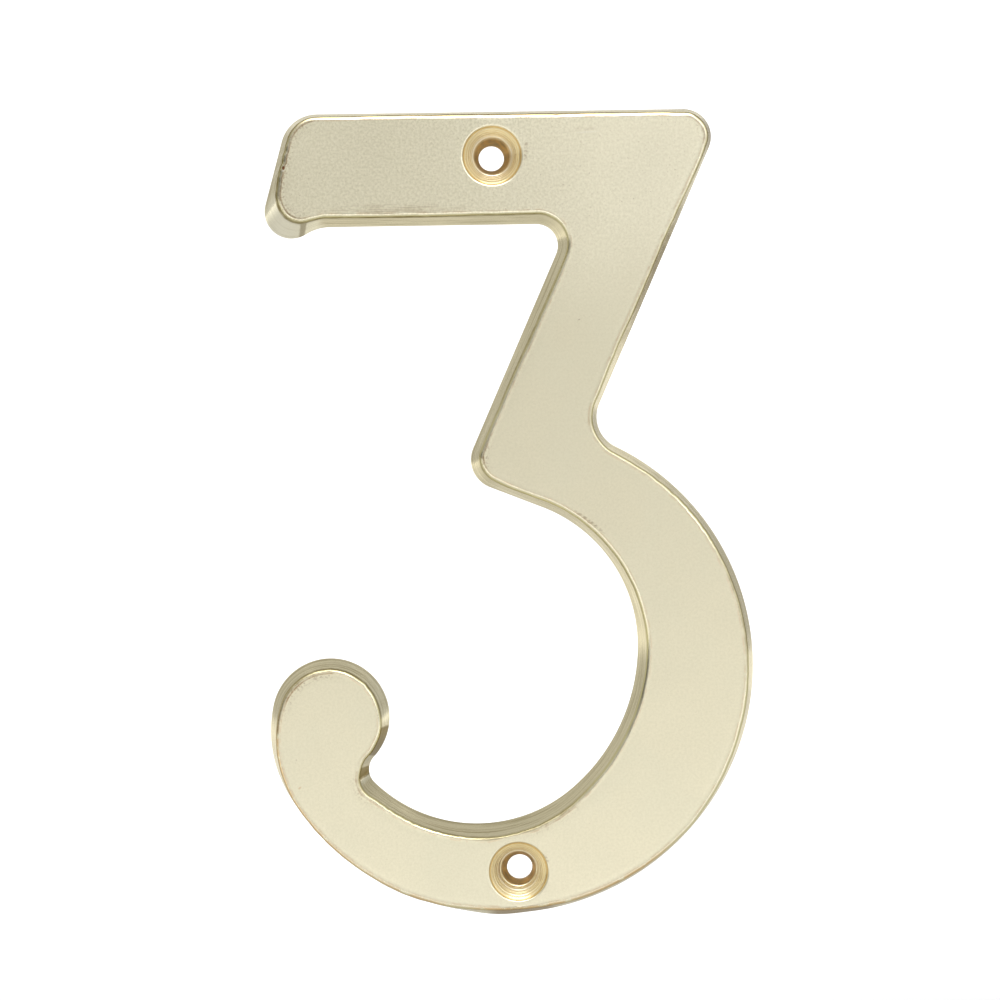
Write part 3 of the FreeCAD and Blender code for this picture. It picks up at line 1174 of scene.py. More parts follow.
    def scattered(self, loop: np.ndarray) -> np.ndarray:
        """A grid of points inside a loop, clear of its edge and of the screw holes.

        Args:
            loop: The loop's corners, X and Z.

        Returns:
            The points, X and Z.
        """
        low, high = loop.min(axis=0), loop.max(axis=0)
        row_height = self.grid * math.sqrt(3) / 2
        rows = np.arange(low[1], high[1], row_height)
        columns = np.arange(low[0], high[0], self.grid)
        x, z = np.meshgrid(columns, rows)
        x = x + self.grid / 2 * (np.arange(len(rows)) % 2)[:, None]
        points = np.column_stack([x.ravel(), z.ravel()])
        points = points[inside(points, loop)]
        points = points[clearance(points, loop) > self.grid_margin]
        for hole in self.holes:
            away = np.linalg.norm(points - hole.mouth_centre, axis=1)
            points = points[away > hole.outer_radius + self.grid_margin]
        return points


Number = Union["Signal", float]


def operator(operation: str, reflected: bool = False) -> Callable[["Signal", Number], "Signal"]:
    """A signal's operator.

    Args:
        operation: The Math node's operation.
        reflected: Whether the signal stands on the right.

    Returns:
        The method.
    """
    def applied(self: "Signal", other: Number) -> "Signal":
        """The result of the operation."""
        return self.bench.math(operation, *((other, self) if reflected else (self, other)))

    return applied


class Signal:
    """A socket that carries a number, worked with as a Python value: each operator adds a Math node."""

    def __init__(self, bench: "Bench", socket: bpy.types.NodeSocket) -> None:
        """Wrap a socket of a bench's tree."""
        self.bench = bench
        self.socket = socket

    __add__, __radd__ = operator("ADD"), operator("ADD", reflected=True)
    __sub__, __rsub__ = operator("SUBTRACT"), operator("SUBTRACT", reflected=True)
    __mul__, __rmul__ = operator("MULTIPLY"), operator("MULTIPLY", reflected=True)
    __truediv__, __rtruediv__ = operator("DIVIDE"), operator("DIVIDE", reflected=True)

    def __neg__(self) -> "Signal":
        """Self with its sign changed."""
        return self.bench.math("MULTIPLY", self, -1.0)

    def __abs__(self) -> "Signal":
        """Self without its sign."""
        return self.bench.math("ABSOLUTE", self)


class Bench:
    """The node tree of a material or of the world, and the one way of adding nodes to it."""

    def __init__(self, tree: bpy.types.NodeTree) -> None:
        """Clear the tree and keep it."""
        tree.nodes.clear()
        self.tree = tree

    def add(self, kind: str, settings: Mapping[str, object] = {}, inputs: Mapping = {}) -> bpy.types.Node:
        """Add a node.

        Args:
            kind: The node's type.
            settings: Its own settings, set first.
            inputs: Values or links of its sockets, by name or number.

        Returns:
            The node.
        """
        node = self.tree.nodes.new(kind)
        for name, value in settings.items():
            setattr(node, name, value)
        for key, value in inputs.items():
            socket = value.socket if isinstance(value, Signal) else value
            if isinstance(socket, bpy.types.NodeSocket):
                self.tree.links.new(socket, node.inputs[key])
            else:
                node.inputs[key].default_value = value
        return node

    def math(self, operation: str, *values: Number) -> Signal:
        """A Math node's result."""
        node = self.add("ShaderNodeMath", {"operation": operation}, dict(enumerate(values)))
        return Signal(self, node.outputs[0])

    def smooth(self, value: Number, low: float, high: float) -> Signal:
        """A soft step from 0 at low to 1 at high."""
        inputs = {"Value": value, "From Min": low, "From Max": high}
        node = self.add("ShaderNodeMapRange", {"interpolation_type": "SMOOTHSTEP"}, inputs)
        return Signal(self, node.outputs["Result"])

    def band(self, value: Number, middle: float, half_width: float) -> Signal:
        """A soft band: 1 at the middle, 0 from half a width to either side."""
        return 1 - self.smooth(abs(value - middle), 0.0, half_width)

    def largest(self, *values: Number) -> Signal:
        """The largest of several values."""
        result = values[0]
        for value in values[1:]:
            result = self.math("MAXIMUM", result, value)
        return result

    def value(self, name: str) -> Signal:
        """A value that the mesh's points carry."""
        return Signal(self, self.add("ShaderNodeAttribute", {"attribute_name": name}).outputs["Fac"])

    def place(self) -> bpy.types.NodeSocket:
        """Where a point of the surface lies, in millimetres."""
        where = self.add("ShaderNodeTexCoord").outputs["Object"]
        return self.scaled(where, (1 / METRES,) * 3)

    def scaled(self, vector: bpy.types.NodeSocket, factors: Sequence[float]) -> bpy.types.NodeSocket:
        """A vector with each of its parts multiplied."""
        node = self.add("ShaderNodeVectorMath", {"operation": "MULTIPLY"}, {0: vector, 1: factors})
        return node.outputs[0]

    def parts(self, vector: bpy.types.NodeSocket) -> Tuple[Signal, Signal, Signal]:
        """The three parts of a vector."""
        node = self.add("ShaderNodeSeparateXYZ", {}, {0: vector})
        return tuple(Signal(self, output) for output in node.outputs)

    def noise(self, vector: bpy.types.NodeSocket, scale: Union[float, Sequence[float]],
              detail: float = 2.0, roughness: float = 0.5) -> Signal:
        """Soft noise about 0.5.

        Args:
            vector: Where it is looked up.
            scale: How many lumps go into one unit, for all directions or for each.
            detail: How many finer layers are added.
            roughness: How strong they are.

        Returns:
            The noise.
        """
        if not isinstance(scale, float):
            vector, scale = self.scaled(vector, scale), 1.0
        inputs = {"Vector": vector, "Scale": scale, "Detail": detail, "Roughness": roughness}
        return Signal(self, self.add("ShaderNodeTexNoise", {}, inputs).outputs["Fac"])

    def mixed(self, share: Number, first: object, second: object) -> bpy.types.NodeSocket:
        """One colour going over into another.

        Args:
            share: 0 for the first, 1 for the second.
            first: A colour or a link.
            second: A colour or a link.

        Returns:
            The colour's socket.
        """
        node = self.add("ShaderNodeMix", {"data_type": "RGBA"}, {0: share, 6: first, 7: second})
        return node.outputs[2]

    def bumped(self, height: Number) -> bpy.types.NodeSocket:
        """The surface's normal with a height in millimetres laid over it."""
        inputs = {"Strength": 1.0, "Distance": METRES, "Height": height}
        return self.add("ShaderNodeBump", {}, inputs).outputs["Normal"]

    def brass(self, inputs: Mapping[str, object]) -> bpy.types.Node:
        """A metal shader with the rest of its sockets as given."""
        return self.add("ShaderNodeBsdfPrincipled", {}, {"Metallic": 1.0, **inputs})

    def blended(self, share: Number, first: bpy.types.Node, second: bpy.types.Node) -> bpy.types.Node:
        """Two shaders mixed, by the second one's share."""
        return self.add("ShaderNodeMixShader", {}, {0: share, 1: first.outputs[0], 2: second.outputs[0]})

    def surface(self, shader: bpy.types.Node) -> None:
        """Put a shader on the surface."""
        self.add("ShaderNodeOutputMaterial", {}, {"Surface": shader.outputs[0]})


def new_bench(name: str) -> Tuple[bpy.types.Material, Bench]:
    """A new material with an empty bench."""
    material = bpy.data.materials.new(name)
    material.use_nodes = True
    return material, Bench(material.node_tree)


class MarkKind(Enum):
    """What a mark on the face is."""

    DARK = "grime rubbed in"
    PALE = "bright scratch"
    WARM = "bare warm brass"
    OXIDE = "red oxide in a pit"
    STROKES = "short strokes along the bar"


@dataclass(frozen=True)
class Mark:
    """A small mark on the face, given by its middle, half sizes and lean."""

    x: float
    z: float
    along: float
    across: float
    lean: float
    strength: float
    kind: MarkKind


@dataclass(frozen=True)
class FaceFinish:
    """Satin-polished pale brass under lacquer, with rubbed edges and the marks of handling; painted light
    makes the bar paler towards its right end, and painted shade dims the edge's highlight in places.
    """

    colour: Colour = (0.85, 0.79, 0.588, 1)
    cloud_colour: Colour = (0.82, 0.77, 0.578, 1)
    bar_painted_light_colour: Colour = (1.0, 0.942, 0.732, 1)
    grain_colour: Colour = (0.71, 0.66, 0.47, 1)
    olive_colour: Colour = (0.66, 0.60, 0.32, 1)
    # colour of the painted shade that dims the edge's highlight
    painted_edge_shade_colour: Colour = (0.36, 0.30, 0.18, 1)
    rubbed_colour: Colour = (0.62, 0.42, 0.20, 1)
    worn_colour: Colour = (0.74, 0.60, 0.40, 1)
    grime_colour: Colour = (0.33, 0.23, 0.12, 1)
    bright_colour: Colour = (0.93, 0.89, 0.76, 1)
    oxide_colour: Colour = (0.24, 0.10, 0.04, 1)
    roughness: float = 0.33
    edge_roughness: float = 0.2
    grain_height: float = 0.0025
    mottle_height: float = 0.0045
    scribble_height: float = 0.002              # only near the edge
    lacquer: float = 0.15
    lacquer_roughness: float = 0.12
    bar_rise: Place = (-24.0, -6.0)             # Z over which the bar's painted light and its grain come in
    bar_painted_light_span: Place = (-16.0, 14.0)      # X over which the bar's painted light reaches its full strength, paler towards the right
    bar_smoothing: Place = (-8.0, 24.0)         # X over which its grain weakens
    marks: Sequence[Mark] = (
        Mark(11.4, 3.2, 2.4, 0.35, 4, 0.16, MarkKind.DARK),
        Mark(12.0, 2.8, 1.8, 0.15, 3, 0.35, MarkKind.PALE),
        Mark(8.9, -3.65, 0.2, 0.16, 0, 0.5, MarkKind.DARK),
        Mark(10.6, -20.65, 0.28, 0.13, 30, 0.6, MarkKind.DARK),
        Mark(-25.6, -75.2, 0.16, 0.13, 0, 0.7, MarkKind.DARK),
        Mark(-25.2, -78.7, 0.3, 0.16, 40, 0.5, MarkKind.WARM),
        Mark(28.5, -50.2, 0.35, 0.2, 80, 0.5, MarkKind.WARM),
        Mark(4.3, 0.6, 1.5, 0.32, 85, 0.6, MarkKind.DARK),
        Mark(5.4, -87.9, 0.9, 0.3, 125, 0.65, MarkKind.DARK),
        Mark(-26.0, -1.12, 0.3, 0.24, 70, 1.0, MarkKind.OXIDE),
        Mark(-26.05, -1.5, 0.22, 0.12, 20, 0.8, MarkKind.PALE),
        Mark(11.6, -45.9, 2.8, 0.3, -38, 0.6, MarkKind.DARK),
        Mark(-12.5, -6.5, 11.5, 0.8, 0, 0.34, MarkKind.STROKES),
        Mark(2.0, -94.4, 5.0, 0.4, 4, 0.35, MarkKind.WARM),
    )

    def mark_mask(self, bench: Bench, x: Signal, z: Signal, mark: Mark) -> Signal:
        """Where one mark lies.

        Args:
            bench: The material's bench.
            x: X on the face.
            z: Z on the face.
            mark: The mark.

        Returns:
            Its mask, as strong as the mark.
        """
        cos, sin = heading(mark.lean)
        along = ((x - mark.x) * cos + (z - mark.z) * sin) / mark.along
        across = ((z - mark.z) * cos - (x - mark.x) * sin) / mark.across
        away = along * along + across * across
        return (1 - bench.smooth(away, 0.1, 1.0)) * mark.strength

    def marked(self, bench: Bench, x: Signal, z: Signal) -> Dict[MarkKind, Signal]:
        """Where the marks of each kind lie.

        Args:
            bench: The material's bench.
            x: X on the face.
            z: Z on the face.

        Returns:
            One mask for each kind.
        """
        masks: Dict[MarkKind, List[Signal]] = {kind: [] for kind in MarkKind}
        for mark in self.marks:
            masks[mark.kind].append(self.mark_mask(bench, x, z, mark))
        return {kind: bench.largest(*found) for kind, found in masks.items()}

    def material(self) -> bpy.types.Material:
        """The finish as a material."""
        material, bench = new_bench("lacquered_face")
        place = bench.place()
        x, _, z = bench.parts(place)
        edge, rub, dirt, dull = [bench.value(name) for name in ("edge_mm", "rub", "grime", "dull")]
        fine = bench.noise(place, 3.0, 3.0, 0.7)
        speck = bench.noise(place, 4.5, 2.0, 0.6)
        cloud = bench.noise(place, 0.09, 2.0)
        mottle = bench.noise(place, 0.5, 3.0, 0.6)
        scribble = bench.noise(place, 0.9, 3.0, 0.7)
        hatch = bench.noise(place, (1.6, 1.0, 5.0), 3.0, 0.7)
        strokes = bench.noise(place, (0.4, 1.0, 5.5), 2.0, 0.6)

        # the open face
        on_bar = bench.smooth(z, *self.bar_rise)
        # painted light: the bar's colour is made paler, more so towards its right end
        painted_bar_light = on_bar * (0.56 + bench.smooth(x, *self.bar_painted_light_span) * 0.44)
        coarseness = 0.47 + on_bar * (0.5 - bench.smooth(x, *self.bar_smoothing) * 0.45)
        colour = bench.mixed(bench.smooth(cloud, 0.35, 0.65), self.colour, self.cloud_colour)
        colour = bench.mixed(painted_bar_light, colour, self.bar_painted_light_colour)
        colour = bench.mixed(bench.smooth(fine, 0.3, 0.7) * coarseness, colour, self.grain_colour)

        # grime, wear and painted shade along the edge, and the marks
        masks = self.marked(bench, x, z)
        dark = bench.largest(masks[MarkKind.DARK] * bench.smooth(hatch, 0.4, 0.58),
                             masks[MarkKind.STROKES] * bench.smooth(strokes, 0.44, 0.6))
        soiled = bench.smooth(dirt + (scribble - 0.5) * 0.5, 0.15, 0.75)
        near_edge = bench.smooth(edge, -1.5, -0.6) * soiled
        specks = near_edge * bench.smooth(speck, 0.52, 0.62) * 0.5
        pits = bench.smooth(speck, 0.68, 0.74) * (0.15 + on_bar * 0.3)
        # painted shade: the rounding is darkened where its highlight is to be dimmed
        painted_edge_shade = bench.smooth(edge, -0.45, -0.2) * dull * (0.5 + bench.smooth(scribble, 0.4, 0.6) * 0.3)
        inner_line = bench.band(edge, -0.45, 0.18) * soiled * (0.6 + bench.smooth(speck, 0.4, 0.6) * 0.4)
        worn_line = bench.band(edge, -0.46, 0.2) * bench.smooth(scribble, 0.38, 0.6) * 0.7
        rubbed = bench.band(edge, -0.1, 0.35) * bench.smooth(rub, 0.0, 0.6)
        rubbed = rubbed * bench.smooth(scribble, 0.35, 0.5)
        olive = bench.smooth(edge, -0.3, 0.05) * 0.85
        colour = bench.mixed(olive, colour, self.olive_colour)
        colour = bench.mixed(worn_line, colour, self.worn_colour)
        colour = bench.mixed(painted_edge_shade, colour, self.painted_edge_shade_colour)
        colour = bench.mixed(bench.largest(dark, specks, inner_line, pits), colour, self.grime_colour)
        colour = bench.mixed(bench.largest(rubbed * 0.9, masks[MarkKind.WARM]), colour, self.rubbed_colour)
        colour = bench.mixed(masks[MarkKind.PALE], colour, self.bright_colour)
        colour = bench.mixed(masks[MarkKind.OXIDE], colour, self.oxide_colour)

        # relief and shine
        height = fine * self.grain_height + mottle * self.mottle_height
        height = height + scribble * self.scribble_height * bench.band(edge, -0.3, 0.8)
        on_edge = bench.smooth(edge, -0.6, -0.1)
        roughness = self.roughness + (fine - 0.5) * 0.1 + (cloud - 0.5) * 0.05
        roughness = roughness * (1 - on_edge) + (self.edge_roughness + dull * 0.25) * on_edge
        bench.surface(bench.brass({
            "Base Color": colour,
            "Roughness": roughness,
            "Normal": bench.bumped(height),
            "Coat Weight": self.lacquer,
            "Coat Roughness": self.lacquer_roughness,
        }))
        return material


@dataclass(frozen=True)
class WallFinish:
    """Cast walls tooled lengthwise: khaki brass, streaked, with a dark line where they meet the edge that
    is partly grime and partly painted shade, and with painted light and painted shade in places.
    """

    colour: Colour = (0.685, 0.622, 0.445, 1)
    streak_colour: Colour = (0.50, 0.445, 0.275, 1)
    painted_light_colour: Colour = (0.93, 0.90, 0.76, 1)
    olive_colour: Colour = (0.66, 0.60, 0.32, 1)
    warm_colour: Colour = (0.46, 0.26, 0.07, 1)
    dark_colour: Colour = (0.27, 0.22, 0.10, 1)
    rubbed_colour: Colour = (0.62, 0.43, 0.26, 1)
    tint: Colour = (0.97, 0.925, 0.75, 1)
    dull_tint: Colour = (0.34, 0.27, 0.14, 1)
    roughness: float = 0.24
    streak_height: float = 0.006
    fine_height: float = 0.0015

    def material(self) -> bpy.types.Material:
        """The finish as a material."""
        material, bench = new_bench("tooled_wall")
        place = bench.place()
        edge, rub, dull = [bench.value(name) for name in ("edge_mm", "rub", "dull")]
        streaks = bench.noise(place, (0.10, 2.2, 0.10), 3.0, 0.6)
        fine = bench.noise(place, (0.35, 9.0, 0.35), 2.0, 0.5)
        broken = bench.noise(place, 0.8, 3.0, 0.6)
        colour = bench.mixed(bench.smooth(streaks, 0.4, 0.7), self.colour, self.streak_colour)
        # painted light: the wall is made paler where it catches light, and its darkening and lines weaken
        # there
        pale = bench.smooth(bench.value("pale") + (broken - 0.5) * 0.3, 0.2, 0.6)
        colour = bench.mixed(pale * 0.8, colour, self.painted_light_colour)
        olive = 1 - bench.smooth(edge, 0.35, 0.6)
        colour = bench.mixed(olive * 0.85, colour, self.olive_colour)
        colour = bench.mixed(olive * bench.smooth(rub, 0.0, 0.6) * 0.8, colour, self.rubbed_colour)
        # painted shade: the wall is darkened in places, standing in for dark reflections
        dark = bench.smooth(bench.value("oil") + (broken - 0.5) * 0.2, 0.3, 0.5)
        # partly grime, partly painted shade: the dark line where the wall meets the edge
        lined = 0.1 + bench.value("line") * 0.75
        line = bench.smooth(edge, -0.05, 0.15) * (1 - bench.smooth(edge, 0.6, 1.15))
        line = line * lined * (0.6 + bench.smooth(broken, 0.4, 0.6) * 0.4)
        # painted shade: the wall's end of the rounding is darkened where the edge's highlight is to be
        # dimmed
        painted_edge_shade = (1 - bench.smooth(edge, 0.2, 0.45)) * dull * 0.6
        warm = bench.smooth(rub, 0.55, 0.95) * (0.5 + bench.smooth(broken, 0.25, 0.5) * 0.4)
        lines = bench.smooth(streaks, 0.48, 0.66) * 0.22 * (1 - pale * 0.5)
        # the darker shader serves tooling streaks and rubbed tarnish, and also painted shade
        tarnish_and_shade_colour = bench.mixed(warm, self.dark_colour, self.warm_colour)
        shared = {
            "Roughness": self.roughness + (fine - 0.5) * 0.1,
            "Normal": bench.bumped(streaks * self.streak_height + fine * self.fine_height),
        }
        clean = bench.brass({"Base Color": colour, "Specular Tint": self.tint, **shared})
        tarnish_and_shade = bench.brass({"Base Color": tarnish_and_shade_colour, "Specular Tint": self.dull_tint, **shared})
        share = bench.largest(dark * 0.85 * (1 - pale * 0.4), line, painted_edge_shade, warm * 0.8, lines)
        bench.surface(bench.blended(share, clean, tarnish_and_shade))
        return material


@dataclass(frozen=True)
class ConeFinish:
    """Freshly turned yellow brass in the countersinks, with the cutter's rings."""

    colour: Colour = (0.95, 0.885, 0.65, 1)
    ring_colour: Colour = (0.72, 0.51, 0.19, 1)
    painted_highlight_colour: Colour = (0.99, 0.95, 0.82, 1)
    roughness: float = 0.32
    rings_per_mm: float = 31.0                  # in radians of a wave
    dark_ring: Place = (3.56, 0.17)             # radius and half width of the darker ring over the groove
    painted_rim_highlight: Place = (2.5, 0.22)                    # the same of the painted highlight on the lip above the core
    ring_height: float = 0.002
    grain_height: float = 0.006

    def material(self) -> bpy.types.Material:
        """The finish as a material."""
        material, bench = new_bench("turned_cone")
        place = bench.place()
        radius = bench.value("ring_mm")
        grain = bench.noise(place, 1.6, 3.0, 0.6)
        rings = bench.math("SINE", radius * self.rings_per_mm + grain * 5.0)
        dark = bench.largest(bench.band(radius, *self.dark_ring), bench.smooth(rings, 0.1, 0.9) * 0.6)
        colour = bench.mixed(dark, self.colour, self.ring_colour)
        # painted highlight on the lip above the core
        colour = bench.mixed(bench.band(radius, *self.painted_rim_highlight) * 0.8, colour, self.painted_highlight_colour)
        bench.surface(bench.brass({
            "Base Color": colour,
            "Roughness": self.roughness + (grain - 0.5) * 0.12,
            "Normal": bench.bumped(rings * self.ring_height + grain * self.grain_height),
        }))
        return material


@dataclass(frozen=True)
class CoreFinish:
    """The cores and bores: bright brass at the mouth, darker brown further down, partly tarnish and partly
    painted shade of the hole's depth.
    """

    colour: Colour = (0.62, 0.40, 0.18, 1)
    grey_colour: Colour = (0.40, 0.31, 0.20, 1)
    mouth_colour: Colour = (0.90, 0.76, 0.50, 1)
    tint: Colour = (0.70, 0.53, 0.32, 1)
    mouth_tint: Colour = (0.92, 0.80, 0.56, 1)
    roughness: float = 0.38
    grain_height: float = 0.01
    tarnish_and_shade_depth: Place = (1.7, 2.6)           # where the tarnish and the painted shade start and are full

    def material(self) -> bpy.types.Material:
        """The finish as a material."""
        material, bench = new_bench("tarnished_core")
        place = bench.place()
        grain = bench.noise(place, 1.1, 4.0, 0.6)
        depth = bench.value("depth_mm")
        shared = {
            "Roughness": self.roughness + (grain - 0.5) * 0.2,
            "Normal": bench.bumped(grain * self.grain_height),
        }
        brown = bench.mixed(bench.smooth(grain + depth * 0.03, 0.45, 0.75), self.colour, self.grey_colour)
        bright = bench.brass({"Base Color": self.mouth_colour, "Specular Tint": self.mouth_tint, **shared})
        tarnish_and_shade = bench.brass({"Base Color": brown, "Specular Tint": self.tint, **shared})
        # partly tarnish, partly painted shade: darker the deeper into the hole
        share = bench.smooth(depth + (grain - 0.5) * 0.6, *self.tarnish_and_shade_depth)
        bench.surface(bench.blended(share, bright, tarnish_and_shade))
        return material


@dataclass(frozen=True)
class BackFinish:
    """Bare brass ground flat on a belt, with straight scratches and a dull bloom."""

    colour: Colour = (0.74, 0.66, 0.46, 1)
    bloom_colour: Colour = (0.52, 0.44, 0.29, 1)
    roughness: float = 0.36
    scratch_height: float = 0.006

    def material(self) -> bpy.types.Material:
        """The finish as a material."""
        material, bench = new_bench("ground_back")
        place = bench.place()
        scratches = bench.noise(place, (6.0, 1.0, 0.12), 3.0, 0.7)
        bloom = bench.noise(place, 0.12, 3.0, 0.6)
        colour = bench.mixed(bench.smooth(bloom, 0.4, 0.7) * 0.5, self.colour, self.bloom_colour)
        colour = bench.mixed(bench.smooth(scratches, 0.45, 0.65) * 0.35, colour, self.bloom_colour)
        bench.surface(bench.brass({
            "Base Color": colour,
            "Roughness": self.roughness + (bloom - 0.5) * 0.2 + (scratches - 0.5) * 0.15,
            "Normal": bench.bumped(scratches * self.scratch_height),
        }))
        return material


@dataclass
class DoorNumber:
    """The whole door number: one cast and finished piece of brass."""

    face: FaceFinish = field(default_factory=FaceFinish)
    wall: WallFinish = field(default_factory=WallFinish)
    cone: ConeFinish = field(default_factory=ConeFinish)
    core: CoreFinish = field(default_factory=CoreFinish)
    back: BackFinish = field(default_factory=BackFinish)
    run_offs: Sequence[Place] = ((0.09, 0.05), (-0.2, -0.03))     # upper and lower countersink
    core_radii: Sequence[float] = (2.27, 2.12)
    core_run_offs: Sequence[Place] = ((0.0, 0.0), (0.02, 0.27))
    crease: float = 32.0                        # an edge sharper than this is shaded sharp

    def casting(self) -> Casting:
        """The casting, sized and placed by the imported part."""
        low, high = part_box(CAD_NODE)
        thickness = (high.y - low.y) / METRES
        outline = NumeralOutline((high.z - low.z) / METRES, thickness, high.z / METRES)
        bores = [mount for mount in frame["record"]["mounts"] if mount["kind"] == "bore"]
        strays = zip(bores, self.run_offs, self.core_radii, self.core_run_offs)
        holes = []
        for number, (bore, run_off, core_radius, core_run_off) in enumerate(strays):
            x, _, z = bore["pos_m"]
            dims = bore["dims"]
            holes.append(ScrewHole((x / METRES, z / METRES), dims["r_mm"], dims["length_mm"], thickness,
                                   run_off, core_radius, core_run_off, seed=SEED + number))
        return Casting(outline, holes)

    def build(self) -> bpy.types.Object:
        """Make the piece, dress it, hide the imported part it replaces and attach it to the root body.

        Returns:
            The piece.
        """
        mesh = self.casting().build()
        mesh.set_sharp_from_angle(angle=math.radians(self.crease))
        for finish in (self.face, self.wall, self.cone, self.core, self.back):
            mesh.materials.append(finish.material())
        piece = bpy.data.objects.new("brass_numeral", mesh)
        bpy.context.scene.collection.objects.link(piece)
        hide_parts(CAD_NODE)
        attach(piece, "root")
        return piece


@dataclass(frozen=True)
class Softbox:
    """A soft lamp: where it stands from the numeral, its size and how bright it is, in metres."""

    name: str
    azimuth: float                  # from straight in front, to the right
    elevation: float
    distance: float
    width: float
    height: float
    brightness: float               # as seen in a mirror, white being 1

    def build(self, target: Vector) -> bpy.types.Object:
        """Hang the lamp, facing the numeral.

        Args:
            target: The point it faces.

        Returns:
            The lamp.
        """
        around, up = math.radians(self.azimuth), math.radians(self.elevation)
        away = Vector((math.sin(around) * math.cos(up), -math.cos(around) * math.cos(up), math.sin(up)))
        light = bpy.data.lights.new(self.name, "AREA")
        light.shape = "RECTANGLE"
        light.size, light.size_y = self.width, self.height
        light.energy = self.brightness * math.pi * self.width * self.height
        lamp = bpy.data.objects.new(self.name, light)
        lamp.location = target + away * self.distance
        lamp.rotation_euler = (-away).to_track_quat("-Z", "Y").to_euler()
        lamp.visible_camera = False
        bpy.context.scene.collection.objects.link(lamp)
        return lamp


@dataclass
class Studio:
    """A plain pale floor and backdrop, a pale room round them and soft lamps, sized in metres.

    The paper's lift is painted light, a glow that only camera, glossy and transmission rays see, and the
    places where it changes are in millimetres from the numeral.
    """

    floor_z: float = -0.2
    floor_reach: float = 3.0
    backdrop_y: float = 2.2
    backdrop_width: float = 0.95
    backdrop_height: float = 0.75
    paper_level: float = 0.58       # how pale the paper is
    far_lift: float = 0.86          # painted light that the far floor and the backdrop gain towards plain white
    middle_lift: float = 0.49       # painted light that the floor just behind the numeral gains
    near_lift: float = 0.53         # painted light that the floor in front of the numeral gains
    near_left_gain: float = 0.33    # how much more of it there is to the left
    middle_rise: Place = (450, 700)
    far_rise: Place = (650, 1100)
    near_rise: Place = (100, 500)
    near_fall: Place = (900, 1900)
    near_left: Place = (0, 150)
    left_side: Place = (200, 330)   # where the painted light on the paper's left side dims
    left_dimming: float = 0.4
    right_side: Place = (260, 350)
    right_dimming: float = 0.75
    side_end: Place = (1200, 1600)  # behind this the sides are as pale as the middle
    front_level: float = 0.47       # the room in front, above the floor
    front_slant: float = 0.4        # what it gains to the right
    front_height: Place = (0.12, 0.4)
    front_gain: float = 0.45        # what it gains higher up
    aside_gain: float = 0.08        # what a strip on either side gains
    rear_level: float = 0.60        # the room behind
    rear_limits: Place = (0.4, 0.95)
    target: Vector = field(default_factory=lambda: Vector((0, 0, -0.045)))
    lamps: Sequence[Softbox] = (
        Softbox("key_softbox", 0, 48, 1.6, 1.3, 0.7, 3.2),
        Softbox("top_softbox", 0, 80, 1.4, 1.2, 0.8, 3.0),
        Softbox("side_softbox", 28, 17, 1.6, 0.7, 0.7, 1.6),
    )

    def paper(self) -> bpy.types.Material:
        """White paper that shows as plain white and still takes a shadow, with painted light that is
        stronger in front and far behind and weaker just behind the numeral and at the sides.
        """
        material, bench = new_bench("white_paper")
        rays = bench.add("ShaderNodeLightPath").outputs
        kinds = ("Camera", "Glossy", "Transmission")
        seen = bench.largest(*[Signal(bench, rays[f"Is {kind} Ray"]) for kind in kinds])
        place = bench.place()
        x, y, _ = bench.parts(place)
        tooth = bench.noise(place, 0.4, 3.0)
        shade = bench.mixed(tooth, (self.paper_level,) * 3 + (1,), (self.paper_level * 0.985,) * 3 + (1,))
        matt = bench.add("ShaderNodeBsdfDiffuse", {}, {"Color": shade})
        sides = bench.largest(bench.smooth(-x, *self.left_side) * self.left_dimming,
                              bench.smooth(x, *self.right_side) * self.right_dimming)
        far = bench.smooth(y, *self.middle_rise) * self.middle_lift
        far = far + bench.smooth(y, *self.far_rise) * (self.far_lift - self.middle_lift)
        far = far * (1 - sides * (1 - bench.smooth(y, *self.side_end)))
        near = bench.smooth(-y, *self.near_rise) * (1 - bench.smooth(-y, *self.near_fall))
        # painted light: the paper's glow, set by place
        painted_paper_light = far + near * self.near_lift * (1 + bench.smooth(-x, *self.near_left) * self.near_left_gain)
        lift = bench.add("ShaderNodeEmission", {}, {"Strength": seen * painted_paper_light})
        bench.surface(bench.add("ShaderNodeAddShader", {}, {0: matt.outputs[0], 1: lift.outputs[0]}))
        return material

    def sheet(self, name: str, start: Vector, across: Vector, up: Vector,
              material: bpy.types.Material) -> bpy.types.Object:
        """A flat sheet of paper that isn't part of the object.

        Args:
            name: The sheet's name.
            start: One of its corners.
            across: The way from there to the next corner.
            up: The way from there to the corner before.
            material: The paper.

        Returns:
            The sheet.
        """
        mesh = bpy.data.meshes.new(name)
        corners = (start, start + across, start + across + up, start + up)
        mesh.from_pydata([tuple(point) for point in corners], [], [(0, 1, 2, 3)])
        mesh.materials.append(material)
        sheet = bpy.data.objects.new(name, mesh)
        bpy.context.scene.collection.objects.link(sheet)
        return sheet

    def build(self) -> None:
        """Lay the floor, hang the backdrop and the lamps and light the room."""
        paper = self.paper()
        reach, width = self.floor_reach, self.backdrop_width
        corner_point = Vector((-reach, -reach, self.floor_z))
        self.sheet("floor", corner_point, Vector((2 * reach, 0, 0)), Vector((0, 2 * reach, 0)), paper)
        corner_point = Vector((-width / 2, self.backdrop_y, self.floor_z))
        upwards = Vector((0, 0, self.backdrop_height))
        self.sheet("backdrop", corner_point, Vector((width, 0, 0)), upwards, paper)
        for lamp in self.lamps:
            lamp.build(self.target)
            log.info("lamp %s at %.0f degrees up", lamp.name, lamp.elevation)
        self.room()

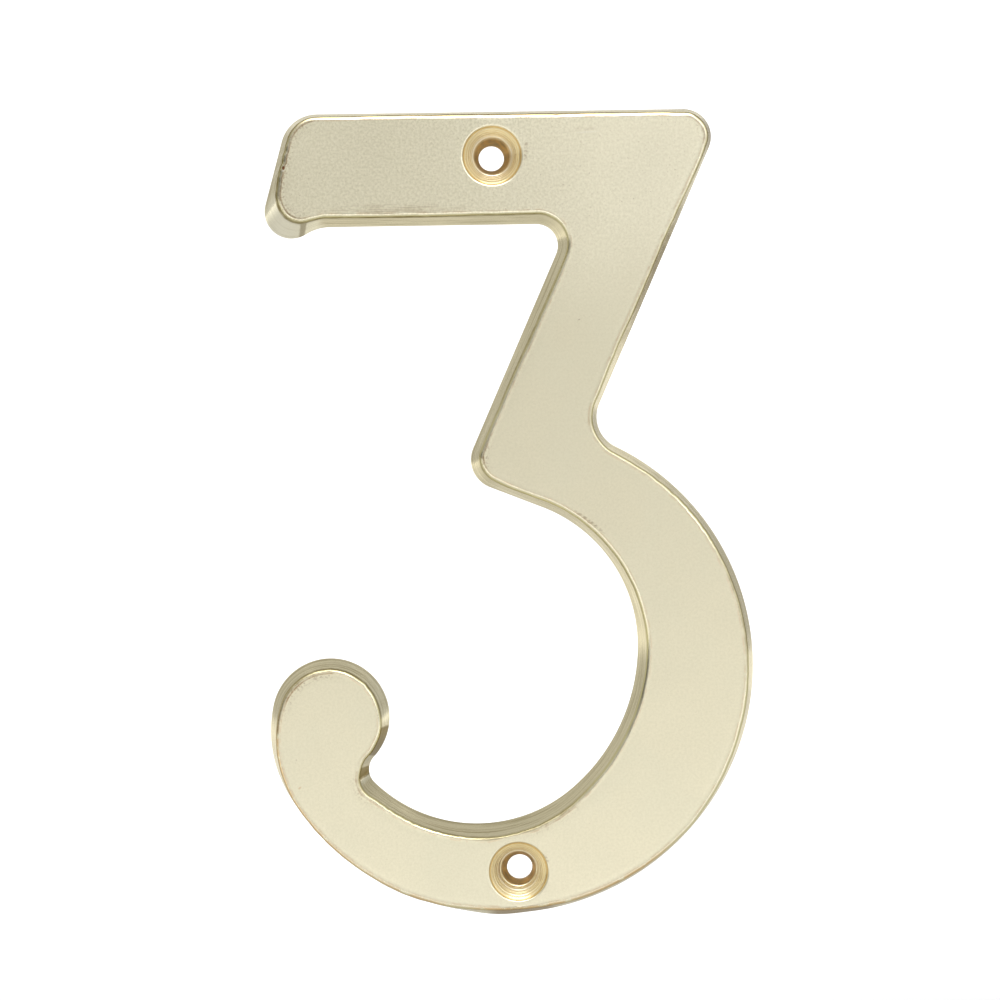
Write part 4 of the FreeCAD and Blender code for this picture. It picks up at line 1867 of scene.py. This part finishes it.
    def room(self) -> None:
        """The pale room: dimmer above and behind, lighter to the right."""
        world = bpy.data.worlds.new("pale_room")
        world.use_nodes = True
        bench = Bench(world.node_tree)
        x, y, z = bench.parts(bench.add("ShaderNodeTexCoord").outputs["Generated"])
        aside = bench.band(abs(x), 0.35, 0.2) * self.aside_gain
        higher = bench.smooth(z, *self.front_height) * self.front_gain
        front = self.front_level + x * self.front_slant + higher + aside
        least, most = self.rear_limits
        behind = bench.math("MINIMUM", bench.largest(self.rear_level - x * 0.1 + z * 0.1, least), most)
        turned = bench.smooth(y, -0.3, 0.3)
        level = front * (1 - turned) + behind * turned
        sky = bench.add("ShaderNodeBackground", {}, {"Color": (1, 1, 1, 1), "Strength": level})
        bench.add("ShaderNodeOutputWorld", {}, {"Surface": sky.outputs[0]})
        bpy.context.scene.world = world


@dataclass
class Viewpoint:
    """The camera, where the photograph was taken from."""

    location: Tuple[float, float, float] = (-2.914, -489.655, -33.303)
    pan: float = 0.3948             # to the right
    tilt: float = 1.15              # downwards
    roll: float = -0.8668
    lens: float = 139.1
    sensor: float = 36.0
    clip: Place = (0.01, 20)        # nearest and farthest that it sees, in metres

    def build(self) -> bpy.types.Object:
        """Set up the camera."""
        pan, tilt, roll = (math.radians(angle) for angle in (self.pan, self.tilt, self.roll))
        ahead = Vector((math.sin(pan) * math.cos(tilt), math.cos(pan) * math.cos(tilt), -math.sin(tilt)))
        level = ahead.cross(Vector((0, 0, 1))).normalized()
        upright = level.cross(ahead)
        right = math.cos(roll) * level + math.sin(roll) * upright
        up = math.cos(roll) * upright - math.sin(roll) * level
        lens = bpy.data.cameras.new("camera")
        lens.lens, lens.sensor_width = self.lens, self.sensor
        lens.clip_start, lens.clip_end = self.clip
        camera = bpy.data.objects.new("camera", lens)
        turned = Matrix((right, up, -ahead)).transposed().to_4x4()
        camera.matrix_world = Matrix.Translation(Vector(self.location) * METRES) @ turned
        bpy.context.scene.collection.objects.link(camera)
        bpy.context.scene.camera = camera
        return camera


def main() -> None:
    """Build the camera, the studio and the door number, and note the sizes."""
    logging.basicConfig(level=logging.INFO, format="%(name)s: %(message)s")
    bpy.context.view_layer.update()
    bpy.context.scene.view_settings.view_transform = "Standard"
    Viewpoint().build()
    log.info("camera set")
    Studio().build()
    log.info("studio ready")
    piece = DoorNumber().build()
    log.info("piece %s: %d points", piece.name, len(piece.data.vertices))


if __name__ == "__main__":
    main()
